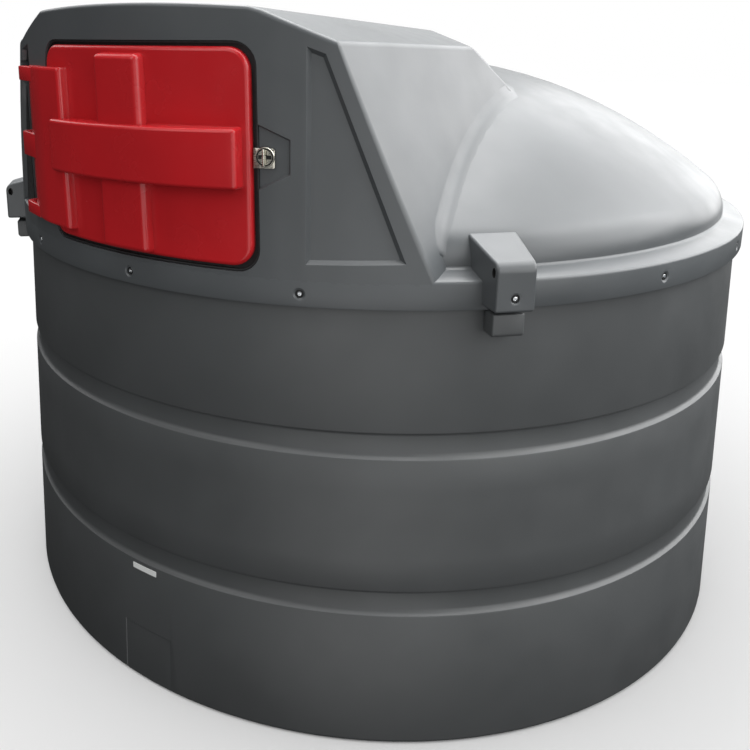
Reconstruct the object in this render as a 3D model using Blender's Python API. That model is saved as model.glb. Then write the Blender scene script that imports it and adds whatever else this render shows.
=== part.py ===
"""Round bunded diesel fuel tank with a moulded cover, a dome and a door cabinet.

Metres, +Z up. The origin is on the floor, on the axis of the round body. The cabinet door faces -Y.
Places on the round wall are given as an azimuth in degrees, 0 at the front and growing towards +X.
"""
import bmesh
import bpy
from math import asin, atan2, ceil, cos, degrees, hypot, pi, radians, sin, sqrt
from mathutils import Matrix, Vector

# Body of the tank
BODY_TOP_RADIUS = 1.137
BODY_FOOT_RADIUS = 1.168
BODY_HEIGHT = 1.188
WALL = 0.020
FLOOR_THICKNESS = 0.016
FOOT_CHAMFER = 0.014
FOOT_STEP = 0.0044
GROOVE_TOPS = (0.832, 0.426)
GROOVE_HEIGHT = 0.066
GROOVE_DEPTH = 0.011
GROOVE_TOP_SLOPE = 0.007
GROOVE_FOOT_SLOPE = 0.012
WALL_SEGMENTS = 8
FOOT_PANEL_AZIMUTHS = (-3.4, 5.0)
FOOT_PANEL_HEIGHT = 0.165
FOOT_PANEL_DEPTH = 0.005

# Rim of the cover, which hangs over the top of the body
RIM_RADIUS = 1.155
RIM_FOOT = 1.130
RIM_FACE_TOP = 1.190
RIM_LEDGE_OUTER = (1.148, 1.198)
RIM_LEDGE_INNER = (1.099, 1.211)
RIM_INNER_RADIUS = 1.084
RIM_FRONT_TOP = 1.200
SHELL = 0.010
RIM_SEAM_AZIMUTHS = (37.16, 110.0)

# Dome
DOME_TOP = 1.650
DOME_DROP = 0.376
DOME_RADIUS = 1.087
DOME_POWER = 2.4
DOME_FOOT = (1.098, 1.2115)
DOME_PLAN_STATIONS = (0.10, 0.25, 0.42, 0.58, 0.72, 0.84, 0.93, 0.98)

# Cabinet in the cover, alike on both sides of the door
CABINET_FOOT_AZIMUTH = 37.16
CABINET_EAVE_AZIMUTH = 26.30
CABINET_EAVE = 1.709
RIDGE_AZIMUTH = 16.80
RIDGE_FRONT = 1.781
ROOF_CROWN = 0.008
RIDGE_FALL = 0.056
EAVE_FALL = 0.030
ROOF_REAR_MIDDLE = -0.150
ROOF_REAR_CORNER = -0.374
SLOPE_FOOT_MIDDLE = -0.010
SLOPE_FOOT_CORNER = -0.185
ROOF_HALF_WIDTH = 0.5203
ROOF_INSET = 0.0125
CORNER_HALF_WIDTH = 0.562

# Doorway and the recesses beside it
DOORWAY_AZIMUTHS = (-16.0, 17.8)
DOORWAY_TOP = 1.707
DOORWAY_CORNER = 0.042
SIDE_RECESS = ((23.2, 1.228), (34.1, 1.235), (25.2, 1.680), (23.2, 1.695))
HINGE_RECESS = ((-34.1, 1.235), (-22.2, 1.228), (-22.2, 1.695), (-25.2, 1.680))
LATCH_RECESS = ((17.6, 1.385), (21.5, 1.424), (21.5, 1.501), (17.6, 1.535))
PAN_MARGIN = 0.014

# Door
DOOR_AZIMUTHS = (-15.3, 17.3)
DOOR_HEIGHTS = (1.213, 1.695)
DOOR_INNER_RADIUS = 1.143
DOOR_RADIUS = 1.161
DOOR_CORNER = 0.036
RIB_RADIUS = 1.185
CROSS_RIB_RADIUS = 1.205
MIDDLE_RIB_AZIMUTHS = (-2.6, 4.7)
MIDDLE_RIB_HEIGHTS = (1.219, 1.680)
HINGE_RIB_AZIMUTHS = (-21.6, -8.0)
HINGE_RIB_HEIGHTS = (1.240, 1.640)
CROSS_RIB_AZIMUTHS = (-10.5, 16.6)
CROSS_RIB_HEIGHTS = (1.388, 1.522)
RIB_ROUNDING = 0.007

# Hinge
PIN_AZIMUTH = -23.6
PIN_RADIUS_OUT = 1.140
PIN_R = 0.0048
KNUCKLE_R = 0.012
KNUCKLE_BORE_R = 0.0053
ARM_HEIGHTS = ((1.240, 1.272), (1.400, 1.464), (1.600, 1.637))
ARM_OUTER_RADIUS = 1.178
ARM_CORNER = 0.020
ARM_LEFT = -0.010
ARM_WEB_RIGHT = 0.008
SLOT_AZIMUTHS = (-26.9, -22.2)
SLOT_HEIGHTS = (1.232, 1.650)
POCKET_DEPTH = 0.058
POCKET_WALL = 0.006

# Latch
HASP_PLATE_RADII = (1.150, 1.153)
HASP_AZIMUTHS = (17.35, 19.75)
HASP_HEIGHTS = (1.437, 1.481)
HASP_FLANGE = 0.003
ROSE_AZIMUTH = 18.68
ROSE_HEIGHT = 1.462
ROSE_R = 0.022
ROSE_THICKNESS = 0.004
WING_LENGTH = 0.038
WING_THICKNESS = 0.004
WING_RISE = 0.014

# Lifting lugs
LUG_AZIMUTHS = (45.0, 135.0, 225.0, 315.0)
LUG_WIDTH = 0.082
LUG_RADIUS = 1.215
LUG_FOOT = 1.141
LUG_OUTER_TOP = 1.252
LUG_INNER_TOP = 1.286
LUG_BEND = 0.016
BODY_LUG_WIDTH = 0.072
BODY_LUG_RADIUS = 1.188
BODY_LUG_HEIGHTS = (1.084, 1.1297)
BODY_LUG_CHAMFER = 0.020

GAP = 0.0003
STEP_DEG = 4.5
PLATE_STEP_DEG = 1.5
CUT_MARGIN = 0.03
SLOPE_DEPTH = 0.06
SLOPE_CLEARANCE = 0.004


def clear_scene():
    """Remove whatever objects the open file holds."""
    for item in list(bpy.data.objects):
        bpy.data.objects.remove(item, do_unlink=True)


def make_material(name, colour, roughness, metallic=0.0):
    """A Principled material with one colour, roughness and metallic value."""
    material = bpy.data.materials.new(name)
    material.use_nodes = True
    shader = material.node_tree.nodes["Principled BSDF"]
    shader.inputs["Base Color"].default_value = (*colour, 1.0)
    shader.inputs["Roughness"].default_value = roughness
    shader.inputs["Metallic"].default_value = metallic
    material.diffuse_color = (*colour, 1.0)
    return material


def make_object(name, bm, material):
    """Turn a bmesh into a named object with its faces pointing out."""
    bmesh.ops.recalc_face_normals(bm, faces=bm.faces[:])
    mesh = bpy.data.meshes.new(name)
    bm.to_mesh(mesh)
    bm.free()
    piece = bpy.data.objects.new(name, mesh)
    bpy.context.collection.objects.link(piece)
    if material:
        mesh.materials.append(material)
    mesh.shade_smooth()
    mesh.set_sharp_from_angle(angle=radians(30))
    return piece


def make_cutter(piece):
    """Keep a piece out of the model and show it as wire, for use by a Boolean."""
    piece.hide_render = True
    piece.display_type = "WIRE"
    return piece


def combine(piece, tool, operation):
    """Add an exact Boolean of a cutter to a piece."""
    modifier = piece.modifiers.new(tool.name, "BOOLEAN")
    modifier.operation = operation
    modifier.solver = "EXACT"
    modifier.object = tool


def on_wall(radius, azimuth, height):
    """The point at a radius, an azimuth in degrees and a height."""
    turn = radians(azimuth)
    return Vector((radius * sin(turn), -radius * cos(turn), height))


def arc_angle(length, radius=RIM_RADIUS):
    """Degrees of azimuth that a length covers on the wall."""
    return degrees(length / radius)


def turned_sector(name, profile, start, end, material):
    """Turn a closed (radius, height) profile from one azimuth to another, with end faces."""
    count = max(1, ceil(abs(end - start) / STEP_DEG - 0.01))
    bm = bmesh.new()
    rings = []
    for i in range(count + 1):
        azimuth = start + (end - start) * i / count
        rings.append([bm.verts.new(on_wall(r, azimuth, z)) for r, z in profile])
    size = len(profile)
    for here, there in zip(rings, rings[1:]):
        for k in range(size):
            n = (k + 1) % size
            bm.faces.new((here[k], here[n], there[n], there[k]))
    bm.faces.new(rings[0])
    bm.faces.new(rings[-1])
    return make_object(name, bm, material)


def bent_plate(name, outline, inner, outer, material, rounding=0.0):
    """Extrude an (azimuth, height) outline between two radii, bent round the axis, with round outer edges."""
    bm = bmesh.new()
    bm.faces.new([bm.verts.new((azimuth, 0.0, height)) for azimuth, height in outline])
    low = min(azimuth for azimuth, height in outline)
    high = max(azimuth for azimuth, height in outline)
    cuts = {round(azimuth, 4) for azimuth, height in outline}
    steps = range(ceil(low / PLATE_STEP_DEG), int(high / PLATE_STEP_DEG) + 1)
    cuts.update(i * PLATE_STEP_DEG for i in steps)
    for azimuth in sorted(cuts):
        if low < azimuth < high:
            geometry = bm.verts[:] + bm.edges[:] + bm.faces[:]
            bmesh.ops.bisect_plane(bm, geom=geometry, plane_co=(azimuth, 0, 0), plane_no=(1, 0, 0))
    front = bmesh.ops.extrude_face_region(bm, geom=bm.faces[:])["geom"]
    for item in front:
        if isinstance(item, bmesh.types.BMVert):
            item.co.y = 1.0
    border = [edge for edge in bm.edges if sum(vert.co.y for vert in edge.verts) > 1.5
              and any(face.calc_center_median().y < 0.9 for face in edge.link_faces)]
    for vert in bm.verts:
        radius = inner + (outer - inner) * vert.co.y
        vert.co = on_wall(radius, vert.co.x, vert.co.z)
    if rounding:
        bmesh.ops.recalc_face_normals(bm, faces=bm.faces[:])
        bmesh.ops.bevel(bm, geom=border, offset=rounding, segments=2, profile=0.5, affect="EDGES")
    return make_object(name, bm, material)


def rounded_box(low, high, foot, top, corner, steps=4):
    """An (azimuth, height) rectangle with round corners, counter-clockwise from the lower left."""
    wide = arc_angle(corner)
    centres = ((low + wide, foot + corner, 180), (high - wide, foot + corner, 270),
               (high - wide, top - corner, 0), (low + wide, top - corner, 90))
    points = []
    for azimuth, height, start in centres:
        for i in range(steps + 1):
            turn = radians(start + 90 * i / steps)
            points.append((azimuth + wide * cos(turn), height + corner * sin(turn)))
    return points


def plain_box(low, high, foot, top):
    """An (azimuth, height) rectangle, counter-clockwise from the lower left."""
    return [(low, foot), (high, foot), (high, top), (low, top)]


def grown(outline, margin):
    """An outline pushed outwards from its middle by about a margin."""
    middle_a = sum(a for a, z in outline) / len(outline)
    middle_z = sum(z for a, z in outline) / len(outline)
    result = []
    for azimuth, height in outline:
        across = radians(azimuth - middle_a) * RIM_RADIUS
        rise = height - middle_z
        reach = hypot(across, rise)
        scale = (reach + margin) / reach
        result.append((middle_a + degrees(across * scale / RIM_RADIUS), middle_z + rise * scale))
    return result


def prism(name, outline, width, material):
    """Extrude a (radius, height) outline across the front, centred on azimuth 0."""
    bm = bmesh.new()
    sides = []
    for x in (-width / 2, width / 2):
        sides.append([bm.verts.new((x, -r, z)) for r, z in outline])
    count = len(outline)
    bm.faces.new(sides[0])
    bm.faces.new(sides[1])
    for k in range(count):
        n = (k + 1) % count
        bm.faces.new((sides[0][k], sides[0][n], sides[1][n], sides[1][k]))
    return make_object(name, bm, material)


def upright(name, outline, foot, top, material):
    """Extrude an (x, y) outline from one height to another."""
    bm = bmesh.new()
    lower = [bm.verts.new((x, y, foot)) for x, y in outline]
    upper = [bm.verts.new((x, y, top)) for x, y in outline]
    bm.faces.new(lower)
    bm.faces.new(upper)
    for k in range(len(outline)):
        n = (k + 1) % len(outline)
        bm.faces.new((lower[k], lower[n], upper[n], upper[k]))
    return make_object(name, bm, material)


def sheet_solid(name, rows, thickness, material):
    """A closed plate whose top is a grid of points and whose underside hangs below it."""
    bm = bmesh.new()
    top = [[bm.verts.new(point) for point in row] for row in rows]
    under = [[bm.verts.new(point - Vector((0, 0, thickness))) for point in row] for row in rows]
    height, width = len(rows), len(rows[0])
    for grid in (top, under):
        for i in range(height - 1):
            for j in range(width - 1):
                bm.faces.new((grid[i][j], grid[i + 1][j], grid[i + 1][j + 1], grid[i][j + 1]))
    border = [(0, j) for j in range(width)] + [(i, width - 1) for i in range(1, height)]
    border += [(height - 1, j) for j in range(width - 2, -1, -1)] + [(i, 0) for i in range(height - 2, 0, -1)]
    for (i, j), (k, n) in zip(border, border[1:] + border[:1]):
        bm.faces.new((top[i][j], top[k][n], under[k][n], under[i][j]))
    return make_object(name, bm, material)


def cylinder(name, radius, foot, top, place, material, sides=24):
    """An upright round bar at a place in plan."""
    outline = [(place[0] + radius * cos(2 * pi * i / sides), place[1] + radius * sin(2 * pi * i / sides))
               for i in range(sides)]
    return upright(name, outline, foot, top, material)


def body_radius(height):
    """Outer radius of the slightly tapered body."""
    return BODY_FOOT_RADIUS + (BODY_TOP_RADIUS - BODY_FOOT_RADIUS) * height / RIM_FOOT


def body_profile():
    """Section of the body wall, with its two grooves on the outside."""
    points = [(body_radius(0) - FOOT_STEP, FLOOR_THICKNESS + GAP),
              (body_radius(FOOT_CHAMFER), FLOOR_THICKNESS + FOOT_CHAMFER)]
    for top in reversed(GROOVE_TOPS):
        foot = top - GROOVE_HEIGHT
        points.append((body_radius(foot), foot))
        points.append((body_radius(foot) - GROOVE_DEPTH, foot + GROOVE_FOOT_SLOPE))
        points.append((body_radius(top) - GROOVE_DEPTH, top - GROOVE_TOP_SLOPE))
        points.append((body_radius(top), top))
    points.append((body_radius(RIM_FOOT), RIM_FOOT))
    points.append((BODY_TOP_RADIUS, BODY_HEIGHT))
    points.append((BODY_TOP_RADIUS - WALL, BODY_HEIGHT))
    points.append((body_radius(0) - WALL, FLOOR_THICKNESS + GAP))
    return points


def dome_height(radius):
    """Height of the dome's outer surface inside its shoulder."""
    return DOME_TOP - DOME_DROP * (radius / DOME_RADIUS) ** DOME_POWER


def dome_shoulder():
    """The two points of the dome's profile that round its shoulder into its short wall."""
    height = dome_height(DOME_RADIUS)
    return [(DOME_RADIUS - 0.002, height + 0.006), (DOME_RADIUS + 0.004, height - 0.024)]


def side_wall_x(height):
    """Half width of the cabinet at a height, where its flat side wall lies."""
    eave = RIM_RADIUS * sin(radians(CABINET_EAVE_AZIMUTH))
    foot = RIM_RADIUS * sin(radians(CABINET_FOOT_AZIMUTH))
    return eave + (foot - eave) * (CABINET_EAVE - height) / (CABINET_EAVE - RIM_FRONT_TOP)


def roof_rear(x):
    """How far back the roof reaches at a distance from the middle."""
    return ROOF_REAR_MIDDLE + (ROOF_REAR_CORNER - ROOF_REAR_MIDDLE) * (x / ROOF_HALF_WIDTH) ** 2


def slope_foot(x):
    """How far back the rear slope reaches, where it runs into the dome."""
    return SLOPE_FOOT_MIDDLE + (SLOPE_FOOT_CORNER - SLOPE_FOOT_MIDDLE) * (x / CORNER_HALF_WIDTH) ** 2


def ridge_x():
    """Distance of the two roof ridges from the middle."""
    return RIM_RADIUS * sin(radians(RIDGE_AZIMUTH))


def roof_height(x, y):
    """Height of the roof's outer surface: a crowned middle between two falling chamfers."""
    ridge = RIDGE_FRONT - RIDGE_FALL * (y + RIM_RADIUS)
    reach = abs(x)
    if reach <= ridge_x():
        return ridge + ROOF_CROWN * (1 - (reach / ridge_x()) ** 2)
    eave = CABINET_EAVE - EAVE_FALL * (y + RIM_RADIUS)
    share = (reach - ridge_x()) / (side_wall_x(eave) - ridge_x())
    return ridge + (eave - ridge) * share


def eave_x(y):
    """Half width of the cabinet at its eave."""
    return side_wall_x(CABINET_EAVE - EAVE_FALL * (y + RIM_RADIUS))


def build_body(plastic):
    """Floor, eight wall segments with two grooves, and four lug blocks."""
    foot = body_radius(0)
    floor_profile = [(0.0, 0.0), (foot - FOOT_CHAMFER, 0.0), (foot, FLOOR_THICKNESS), (0.0, FLOOR_THICKNESS)]
    build_disc("body_floor", floor_profile, plastic)
    profile = body_profile()
    width = 360.0 / WALL_SEGMENTS
    margin = arc_angle(GAP / 2)
    for i in range(WALL_SEGMENTS):
        middle = width * i
        piece = turned_sector(f"body_wall_{i + 1}", profile, middle - width / 2 + margin,
                              middle + width / 2 - margin, plastic)
        if i == 0:
            low, high = FOOT_PANEL_AZIMUTHS
            outline = plain_box(low, high, -CUT_MARGIN, FOOT_PANEL_HEIGHT)
            panel = bent_plate("foot_panel_cut", outline, foot - FOOT_PANEL_DEPTH, foot + CUT_MARGIN, None)
            combine(piece, make_cutter(panel), "DIFFERENCE")
    low, high = BODY_LUG_HEIGHTS
    inner = body_radius(low) + 2 * GAP
    outline = [(inner, low), (BODY_LUG_RADIUS - BODY_LUG_CHAMFER, low),
               (BODY_LUG_RADIUS, low + BODY_LUG_CHAMFER), (BODY_LUG_RADIUS, high), (inner, high)]
    for i, azimuth in enumerate(LUG_AZIMUTHS):
        block = prism(f"body_lug_{i + 1}", outline, BODY_LUG_WIDTH, plastic)
        block.rotation_euler.z = radians(azimuth)


def build_disc(name, profile, material):
    """A solid of revolution whose profile starts and ends on the axis."""
    count = round(360 / STEP_DEG)
    bm = bmesh.new()
    first = bm.verts.new((0, 0, profile[0][1]))
    last = bm.verts.new((0, 0, profile[-1][1]))
    rings = []
    for radius, height in profile[1:-1]:
        rings.append([bm.verts.new(on_wall(radius, STEP_DEG * i, height)) for i in range(count)])
    for i in range(count):
        n = (i + 1) % count
        bm.faces.new((first, rings[0][i], rings[0][n]))
        bm.faces.new((last, rings[-1][n], rings[-1][i]))
        for here, there in zip(rings, rings[1:]):
            bm.faces.new((here[i], there[i], there[n], here[n]))
    return make_object(name, bm, material)


def build_rim(plastic):
    """The rim of the cover in five lengths, square-topped under the cabinet front."""
    inner = RIM_RADIUS - SHELL
    front = [(inner, RIM_FOOT), (RIM_RADIUS, RIM_FOOT), (RIM_RADIUS, RIM_FRONT_TOP),
             (RIM_INNER_RADIUS, RIM_FRONT_TOP), (RIM_INNER_RADIUS, RIM_FRONT_TOP - SHELL),
             (inner, RIM_FRONT_TOP - SHELL)]
    ledge = [(inner, RIM_FOOT), (RIM_RADIUS, RIM_FOOT), (RIM_RADIUS, RIM_FACE_TOP), RIM_LEDGE_OUTER,
             RIM_LEDGE_INNER, (RIM_INNER_RADIUS, RIM_LEDGE_INNER[1]),
             (RIM_INNER_RADIUS, RIM_FRONT_TOP - SHELL), (inner, RIM_FRONT_TOP - SHELL)]
    seam, rear = RIM_SEAM_AZIMUTHS
    margin = arc_angle(GAP / 2)
    turned_sector("rim_front", front, -seam + margin, seam - margin, plastic)
    turned_sector("rim_right", ledge, seam + margin, rear - margin, plastic)
    turned_sector("rim_back_right", ledge, rear + margin, 180 - margin, plastic)
    turned_sector("rim_back_left", ledge, 180 + margin, 360 - rear - margin, plastic)
    turned_sector("rim_left", ledge, 360 - rear + margin, 360 - seam - margin, plastic)


def slope_stations():
    """Shares of the roof's half width that have a line of points, the ridges among them."""
    ridge = ridge_x() / (ROOF_HALF_WIDTH - ROOF_INSET)
    right = [0.2 * ridge, 0.6 * ridge, ridge, (ridge + 1) / 2, 1.0]
    return [-share for share in reversed(right)] + right


def slope_line(share, inset):
    """Top and foot of the rear slope at a share of its half width, drawn in from the side walls."""
    x = share * (ROOF_HALF_WIDTH - inset)
    high = Vector((x, roof_rear(x), roof_height(x, roof_rear(x))))
    x = share * (CORNER_HALF_WIDTH - inset)
    low = Vector((x, slope_foot(x), dome_height(hypot(x, slope_foot(x)))))
    return high, low


def cabinet_block(name, clearance, foot):
    """The cabinet's outer shape as a solid, grown by a clearance, used to cut the dome."""
    bm = bmesh.new()
    front_y = -RIM_RADIUS - 2 * CUT_MARGIN
    push = Vector((0, SLOPE_CLEARANCE, SLOPE_CLEARANCE))
    loops = []
    for share in slope_stations():
        high, low = slope_line(share, 0.0)
        deep = low + (low - high).normalized() * SLOPE_DEPTH
        high, deep = high + push, deep + push
        high.x = share * (side_wall_x(high.z) + clearance)
        deep.x = share * (side_wall_x(deep.z) + clearance)
        across = share * (side_wall_x(foot) + clearance)
        loops.append([bm.verts.new(point) for point in (
            (across, front_y, foot), (across, deep.y, foot), deep, high, (high.x, front_y, high.z))])
    for here, there in zip(loops, loops[1:]):
        for k in range(5):
            n = (k + 1) % 5
            bm.faces.new((here[k], here[n], there[n], there[k]))
    bm.faces.new(loops[0])
    bm.faces.new(loops[-1])
    return make_object(name, bm, None)


def build_dome(plastic):
    """Dome shell round the cabinet, in four pieces."""
    outer = [(DOME_RADIUS * share, dome_height(DOME_RADIUS * share)) for share in DOME_PLAN_STATIONS]
    foot = (DOME_FOOT[0], DOME_FOOT[1] + GAP)
    outer += dome_shoulder() + [foot]
    inner = [(DOME_FOOT[0] - 1.3 * SHELL, foot[1]),
             (DOME_RADIUS - 2.4 * SHELL, dome_height(DOME_RADIUS) - 0.4 * SHELL)]
    for share in (0.84, 0.58, 0.25):
        radius = DOME_RADIUS * share
        inner.append((radius, dome_height(radius) - SHELL * 1.1))
    profile = [(0.0, DOME_TOP)] + outer + inner + [(0.0, DOME_TOP - SHELL)]
    cutter = make_cutter(cabinet_block("cabinet_cut", 5 * GAP, RIM_FRONT_TOP - CUT_MARGIN))
    quarters = {"dome_right": (1, -1), "dome_left": (-1, -1),
                "dome_back_right": (1, 1), "dome_back_left": (-1, 1)}
    for name, (side, back) in quarters.items():
        piece = build_disc(name, profile, plastic)
        combine(piece, cutter, "DIFFERENCE")
        keep = make_cutter(quarter_block(f"{name}_part", side, back))
        combine(piece, keep, "INTERSECT")


def quarter_block(name, side, back):
    """A block that holds one quarter of the dome, split at the middle and behind the cabinet."""
    reach = RIM_RADIUS + CUT_MARGIN
    split = SLOPE_FOOT_CORNER
    x_low, x_high = (GAP / 2, reach) if side > 0 else (-reach, -GAP / 2)
    y_low, y_high = (split + GAP / 2, reach) if back > 0 else (-reach, split - GAP / 2)
    outline = [(x_low, y_low), (x_high, y_low), (x_high, y_high), (x_low, y_high)]
    return upright(name, outline, RIM_FOOT, RIDGE_FRONT + CUT_MARGIN, None)


def doorway_cut(name):
    """The doorway, from the rim up, with round corners."""
    low, high = DOORWAY_AZIMUTHS
    outline = rounded_box(low, high, RIM_FRONT_TOP - GAP, DOORWAY_TOP, DOORWAY_CORNER)
    return bent_plate(name, outline, RIM_RADIUS - SHELL - CUT_MARGIN, RIM_RADIUS + CUT_MARGIN, None)


def build_front(plastic):
    """Cabinet front: two jambs and a header round the doorway, with recess pans behind."""
    inner = RIM_RADIUS - SHELL
    foot = RIM_FRONT_TOP + GAP
    low, high = DOORWAY_AZIMUTHS
    margin = arc_angle(GAP / 2)
    top = RIDGE_FRONT
    doorway = make_cutter(doorway_cut("doorway_cut"))
    side_cut = bent_plate("side_recess_cut_right", list(SIDE_RECESS), inner - CUT_MARGIN,
                          RIM_RADIUS + CUT_MARGIN, None)
    left_cut = bent_plate("side_recess_cut_left", list(HINGE_RECESS), inner - CUT_MARGIN,
                          RIM_RADIUS + CUT_MARGIN, None)
    latch_cut = bent_plate("latch_recess_cut", list(LATCH_RECESS), inner - CUT_MARGIN,
                           RIM_RADIUS + CUT_MARGIN, None)
    for cut in (side_cut, left_cut, latch_cut):
        make_cutter(cut)

    right_seam = high - arc_angle(DOORWAY_CORNER)
    left_seam = low + arc_angle(DOORWAY_CORNER)
    eave = CABINET_EAVE
    right = [(right_seam + margin, foot), (CABINET_FOOT_AZIMUTH, foot), (CABINET_EAVE_AZIMUTH, eave),
             (RIDGE_AZIMUTH, top), (right_seam + margin, front_top(right_seam))]
    left = [(-CABINET_FOOT_AZIMUTH, foot), (left_seam - margin, foot),
            (left_seam - margin, front_top(left_seam)), (-RIDGE_AZIMUTH, top), (-CABINET_EAVE_AZIMUTH, eave)]
    jamb_right = bent_plate("jamb_right", right, inner, RIM_RADIUS, plastic)
    jamb_left = bent_plate("jamb_left", left, inner, RIM_RADIUS, plastic)
    for piece, cuts in ((jamb_right, (doorway, side_cut, latch_cut)), (jamb_left, (doorway, left_cut))):
        for cut in cuts:
            combine(piece, cut, "DIFFERENCE")
    crown = [(left_seam + (right_seam - left_seam) * i / 6) for i in range(7)]
    header = [(crown[0] + margin, DOORWAY_TOP), (crown[-1] - margin, DOORWAY_TOP)]
    header += [(min(max(a, crown[0] + margin), crown[-1] - margin), front_top(a)) for a in reversed(crown)]
    bent_plate("header", header, inner, RIM_RADIUS, plastic)

    pan_outer = inner - GAP
    bent_plate("side_recess_pan_right", grown(SIDE_RECESS, PAN_MARGIN), pan_outer - SHELL, pan_outer, plastic)
    latch_pan = [(DOORWAY_AZIMUTHS[1] + 0.15, LATCH_RECESS[0][1] - PAN_MARGIN), (22.2, 1.412), (22.2, 1.513),
                 (DOORWAY_AZIMUTHS[1] + 0.15, LATCH_RECESS[3][1] + PAN_MARGIN)]
    bent_plate("latch_recess_pan", latch_pan, pan_outer - SHELL, pan_outer, plastic)
    left_pan = bent_plate("side_recess_pan_left", grown(HINGE_RECESS, PAN_MARGIN),
                          pan_outer - SHELL, pan_outer, plastic)
    slot = bent_plate("hinge_slot_cut", plain_box(*SLOT_AZIMUTHS, *SLOT_HEIGHTS),
                      pan_outer - SHELL - CUT_MARGIN, pan_outer + CUT_MARGIN, None)
    combine(left_pan, make_cutter(slot), "DIFFERENCE")
    build_hinge_pocket(plastic, pan_outer - SHELL - GAP)


def front_top(azimuth):
    """Height of the cabinet front's top edge between the ridges."""
    share = azimuth / RIDGE_AZIMUTH
    return RIDGE_FRONT + ROOF_CROWN * max(0.0, 1 - share ** 2)


def build_hinge_pocket(plastic, outer):
    """An open-fronted box behind the hinge slot, where the door's arms turn."""
    low, high = SLOT_AZIMUTHS
    foot, top = SLOT_HEIGHTS
    wall = arc_angle(POCKET_WALL)
    around = plain_box(low - wall, high + wall, foot - POCKET_WALL, top + POCKET_WALL)
    box = bent_plate("hinge_pocket", around, outer - POCKET_DEPTH, outer, plastic)
    hollow = bent_plate("hinge_pocket_cut", plain_box(low, high, foot, top),
                        outer - POCKET_DEPTH + POCKET_WALL, outer + CUT_MARGIN, None)
    combine(box, make_cutter(hollow), "DIFFERENCE")


def build_side_walls(plastic):
    """The two flat side walls, leaning in, from the front to the rear slope."""
    inner = RIM_RADIUS - SHELL - GAP
    eave_front = CABINET_EAVE - 0.001
    heights = [RIM_FRONT_TOP + 4 * GAP + (eave_front - RIM_FRONT_TOP - 4 * GAP) * i / 5 for i in range(6)]
    front = []
    for height in heights:
        x = side_wall_x(height)
        front.append((-sqrt(inner ** 2 - x ** 2), height))
    rear_corner = (ROOF_REAR_CORNER, CABINET_EAVE - EAVE_FALL * (ROOF_REAR_CORNER + RIM_RADIUS))
    dome_corner = (SLOPE_FOOT_CORNER, dome_height(hypot(CORNER_HALF_WIDTH, SLOPE_FOOT_CORNER)) - 0.012)
    outline = front + [(rear_corner[0], rear_corner[1] - GAP), dome_corner]
    for y in (-0.345, -0.475, -0.644, -0.776, -0.850):
        radius_height = crease_height(y) - 0.018
        outline.append((y, radius_height))
    outline.append((-0.900, RIM_LEDGE_INNER[1] + GAP))
    for name, side in (("side_wall_right", 1), ("side_wall_left", -1)):
        bm = bmesh.new()
        faces = []
        for depth in (0.0, SHELL):
            ring = []
            for y, z in outline:
                x = side * (side_wall_x(z) - depth * 1.065)
                ring.append(bm.verts.new((x, y, z)))
            faces.append(ring)
            bm.faces.new(ring)
        for k in range(len(outline)):
            n = (k + 1) % len(outline)
            bm.faces.new((faces[0][k], faces[0][n], faces[1][n], faces[1][k]))
        piece = make_object(name, bm, plastic)
        trim = make_cutter(front_trim(f"{name}_trim"))
        combine(piece, trim, "INTERSECT")


def front_trim(name):
    """A drum that keeps what lies behind the cabinet front and its pans."""
    radius = RIM_RADIUS - SHELL - GAP
    top = RIDGE_FRONT + CUT_MARGIN
    return build_disc(name, [(0.0, RIM_FOOT), (radius, RIM_FOOT), (radius, top), (0.0, top)], None)


def crease_height(y):
    """Height where the side wall's plane meets the dome at a depth y."""
    low, high = RIM_FRONT_TOP, CABINET_EAVE
    for _ in range(40):
        middle = (low + high) / 2
        if middle < dome_height(min(hypot(side_wall_x(middle), y), DOME_RADIUS)):
            low = middle
        else:
            high = middle
    return low


def build_roof(plastic):
    """Crowned roof, its two chamfers and the slope down to the dome."""
    ridge = ridge_x()
    radius = RIM_RADIUS - SHELL - GAP

    def strip(name, columns):
        rows = []
        for x_front, x_rear in columns:
            row = []
            for share in (0.0, 0.35, 0.7, 1.0):
                y_front = -sqrt(radius ** 2 - x_front ** 2)
                y_rear = roof_rear(x_rear)
                y = y_front + (y_rear - y_front) * share
                x = x_front + (x_rear - x_front) * share
                row.append(Vector((x, y, roof_height(x, y))))
            rows.append(row)
        return sheet_solid(name, rows, SHELL, plastic)

    middle = [(ridge - GAP) * k for k in (-1.0, -0.6, -0.2, 0.2, 0.6, 1.0)]
    strip("roof_top", [(x, x) for x in middle])
    front_edge = eave_x(-RIM_RADIUS * cos(radians(CABINET_EAVE_AZIMUTH))) - ROOF_INSET
    rear_edge = ROOF_HALF_WIDTH - ROOF_INSET
    for name, side in (("roof_chamfer_right", 1), ("roof_chamfer_left", -1)):
        columns = [(side * (ridge + GAP), side * (ridge + GAP))]
        for share in (0.5, 1.0):
            x_front = ridge + (front_edge - ridge) * share
            x_rear = ridge + (rear_edge - ridge) * share
            columns.append((side * x_front, side * x_rear))
        strip(name, columns if side > 0 else list(reversed(columns)))
    rows = []
    for share in slope_stations():
        high, low = slope_line(share, ROOF_INSET)
        high.y += 2 * GAP
        rows.append([high, (high + low) / 2, low])
    sheet_solid("rear_slope", rows, SHELL, plastic)


def build_inner_top(plastic):
    """Top plate of the inner tank, which is the cabinet's floor."""
    radius = BODY_TOP_RADIUS - WALL - 2 * GAP
    top = RIM_FRONT_TOP - SHELL - 0.002
    profile = [(0.0, top - SHELL), (radius, top - SHELL), (radius, top), (0.0, top)]
    build_disc("inner_tank_top", profile, plastic)


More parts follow.
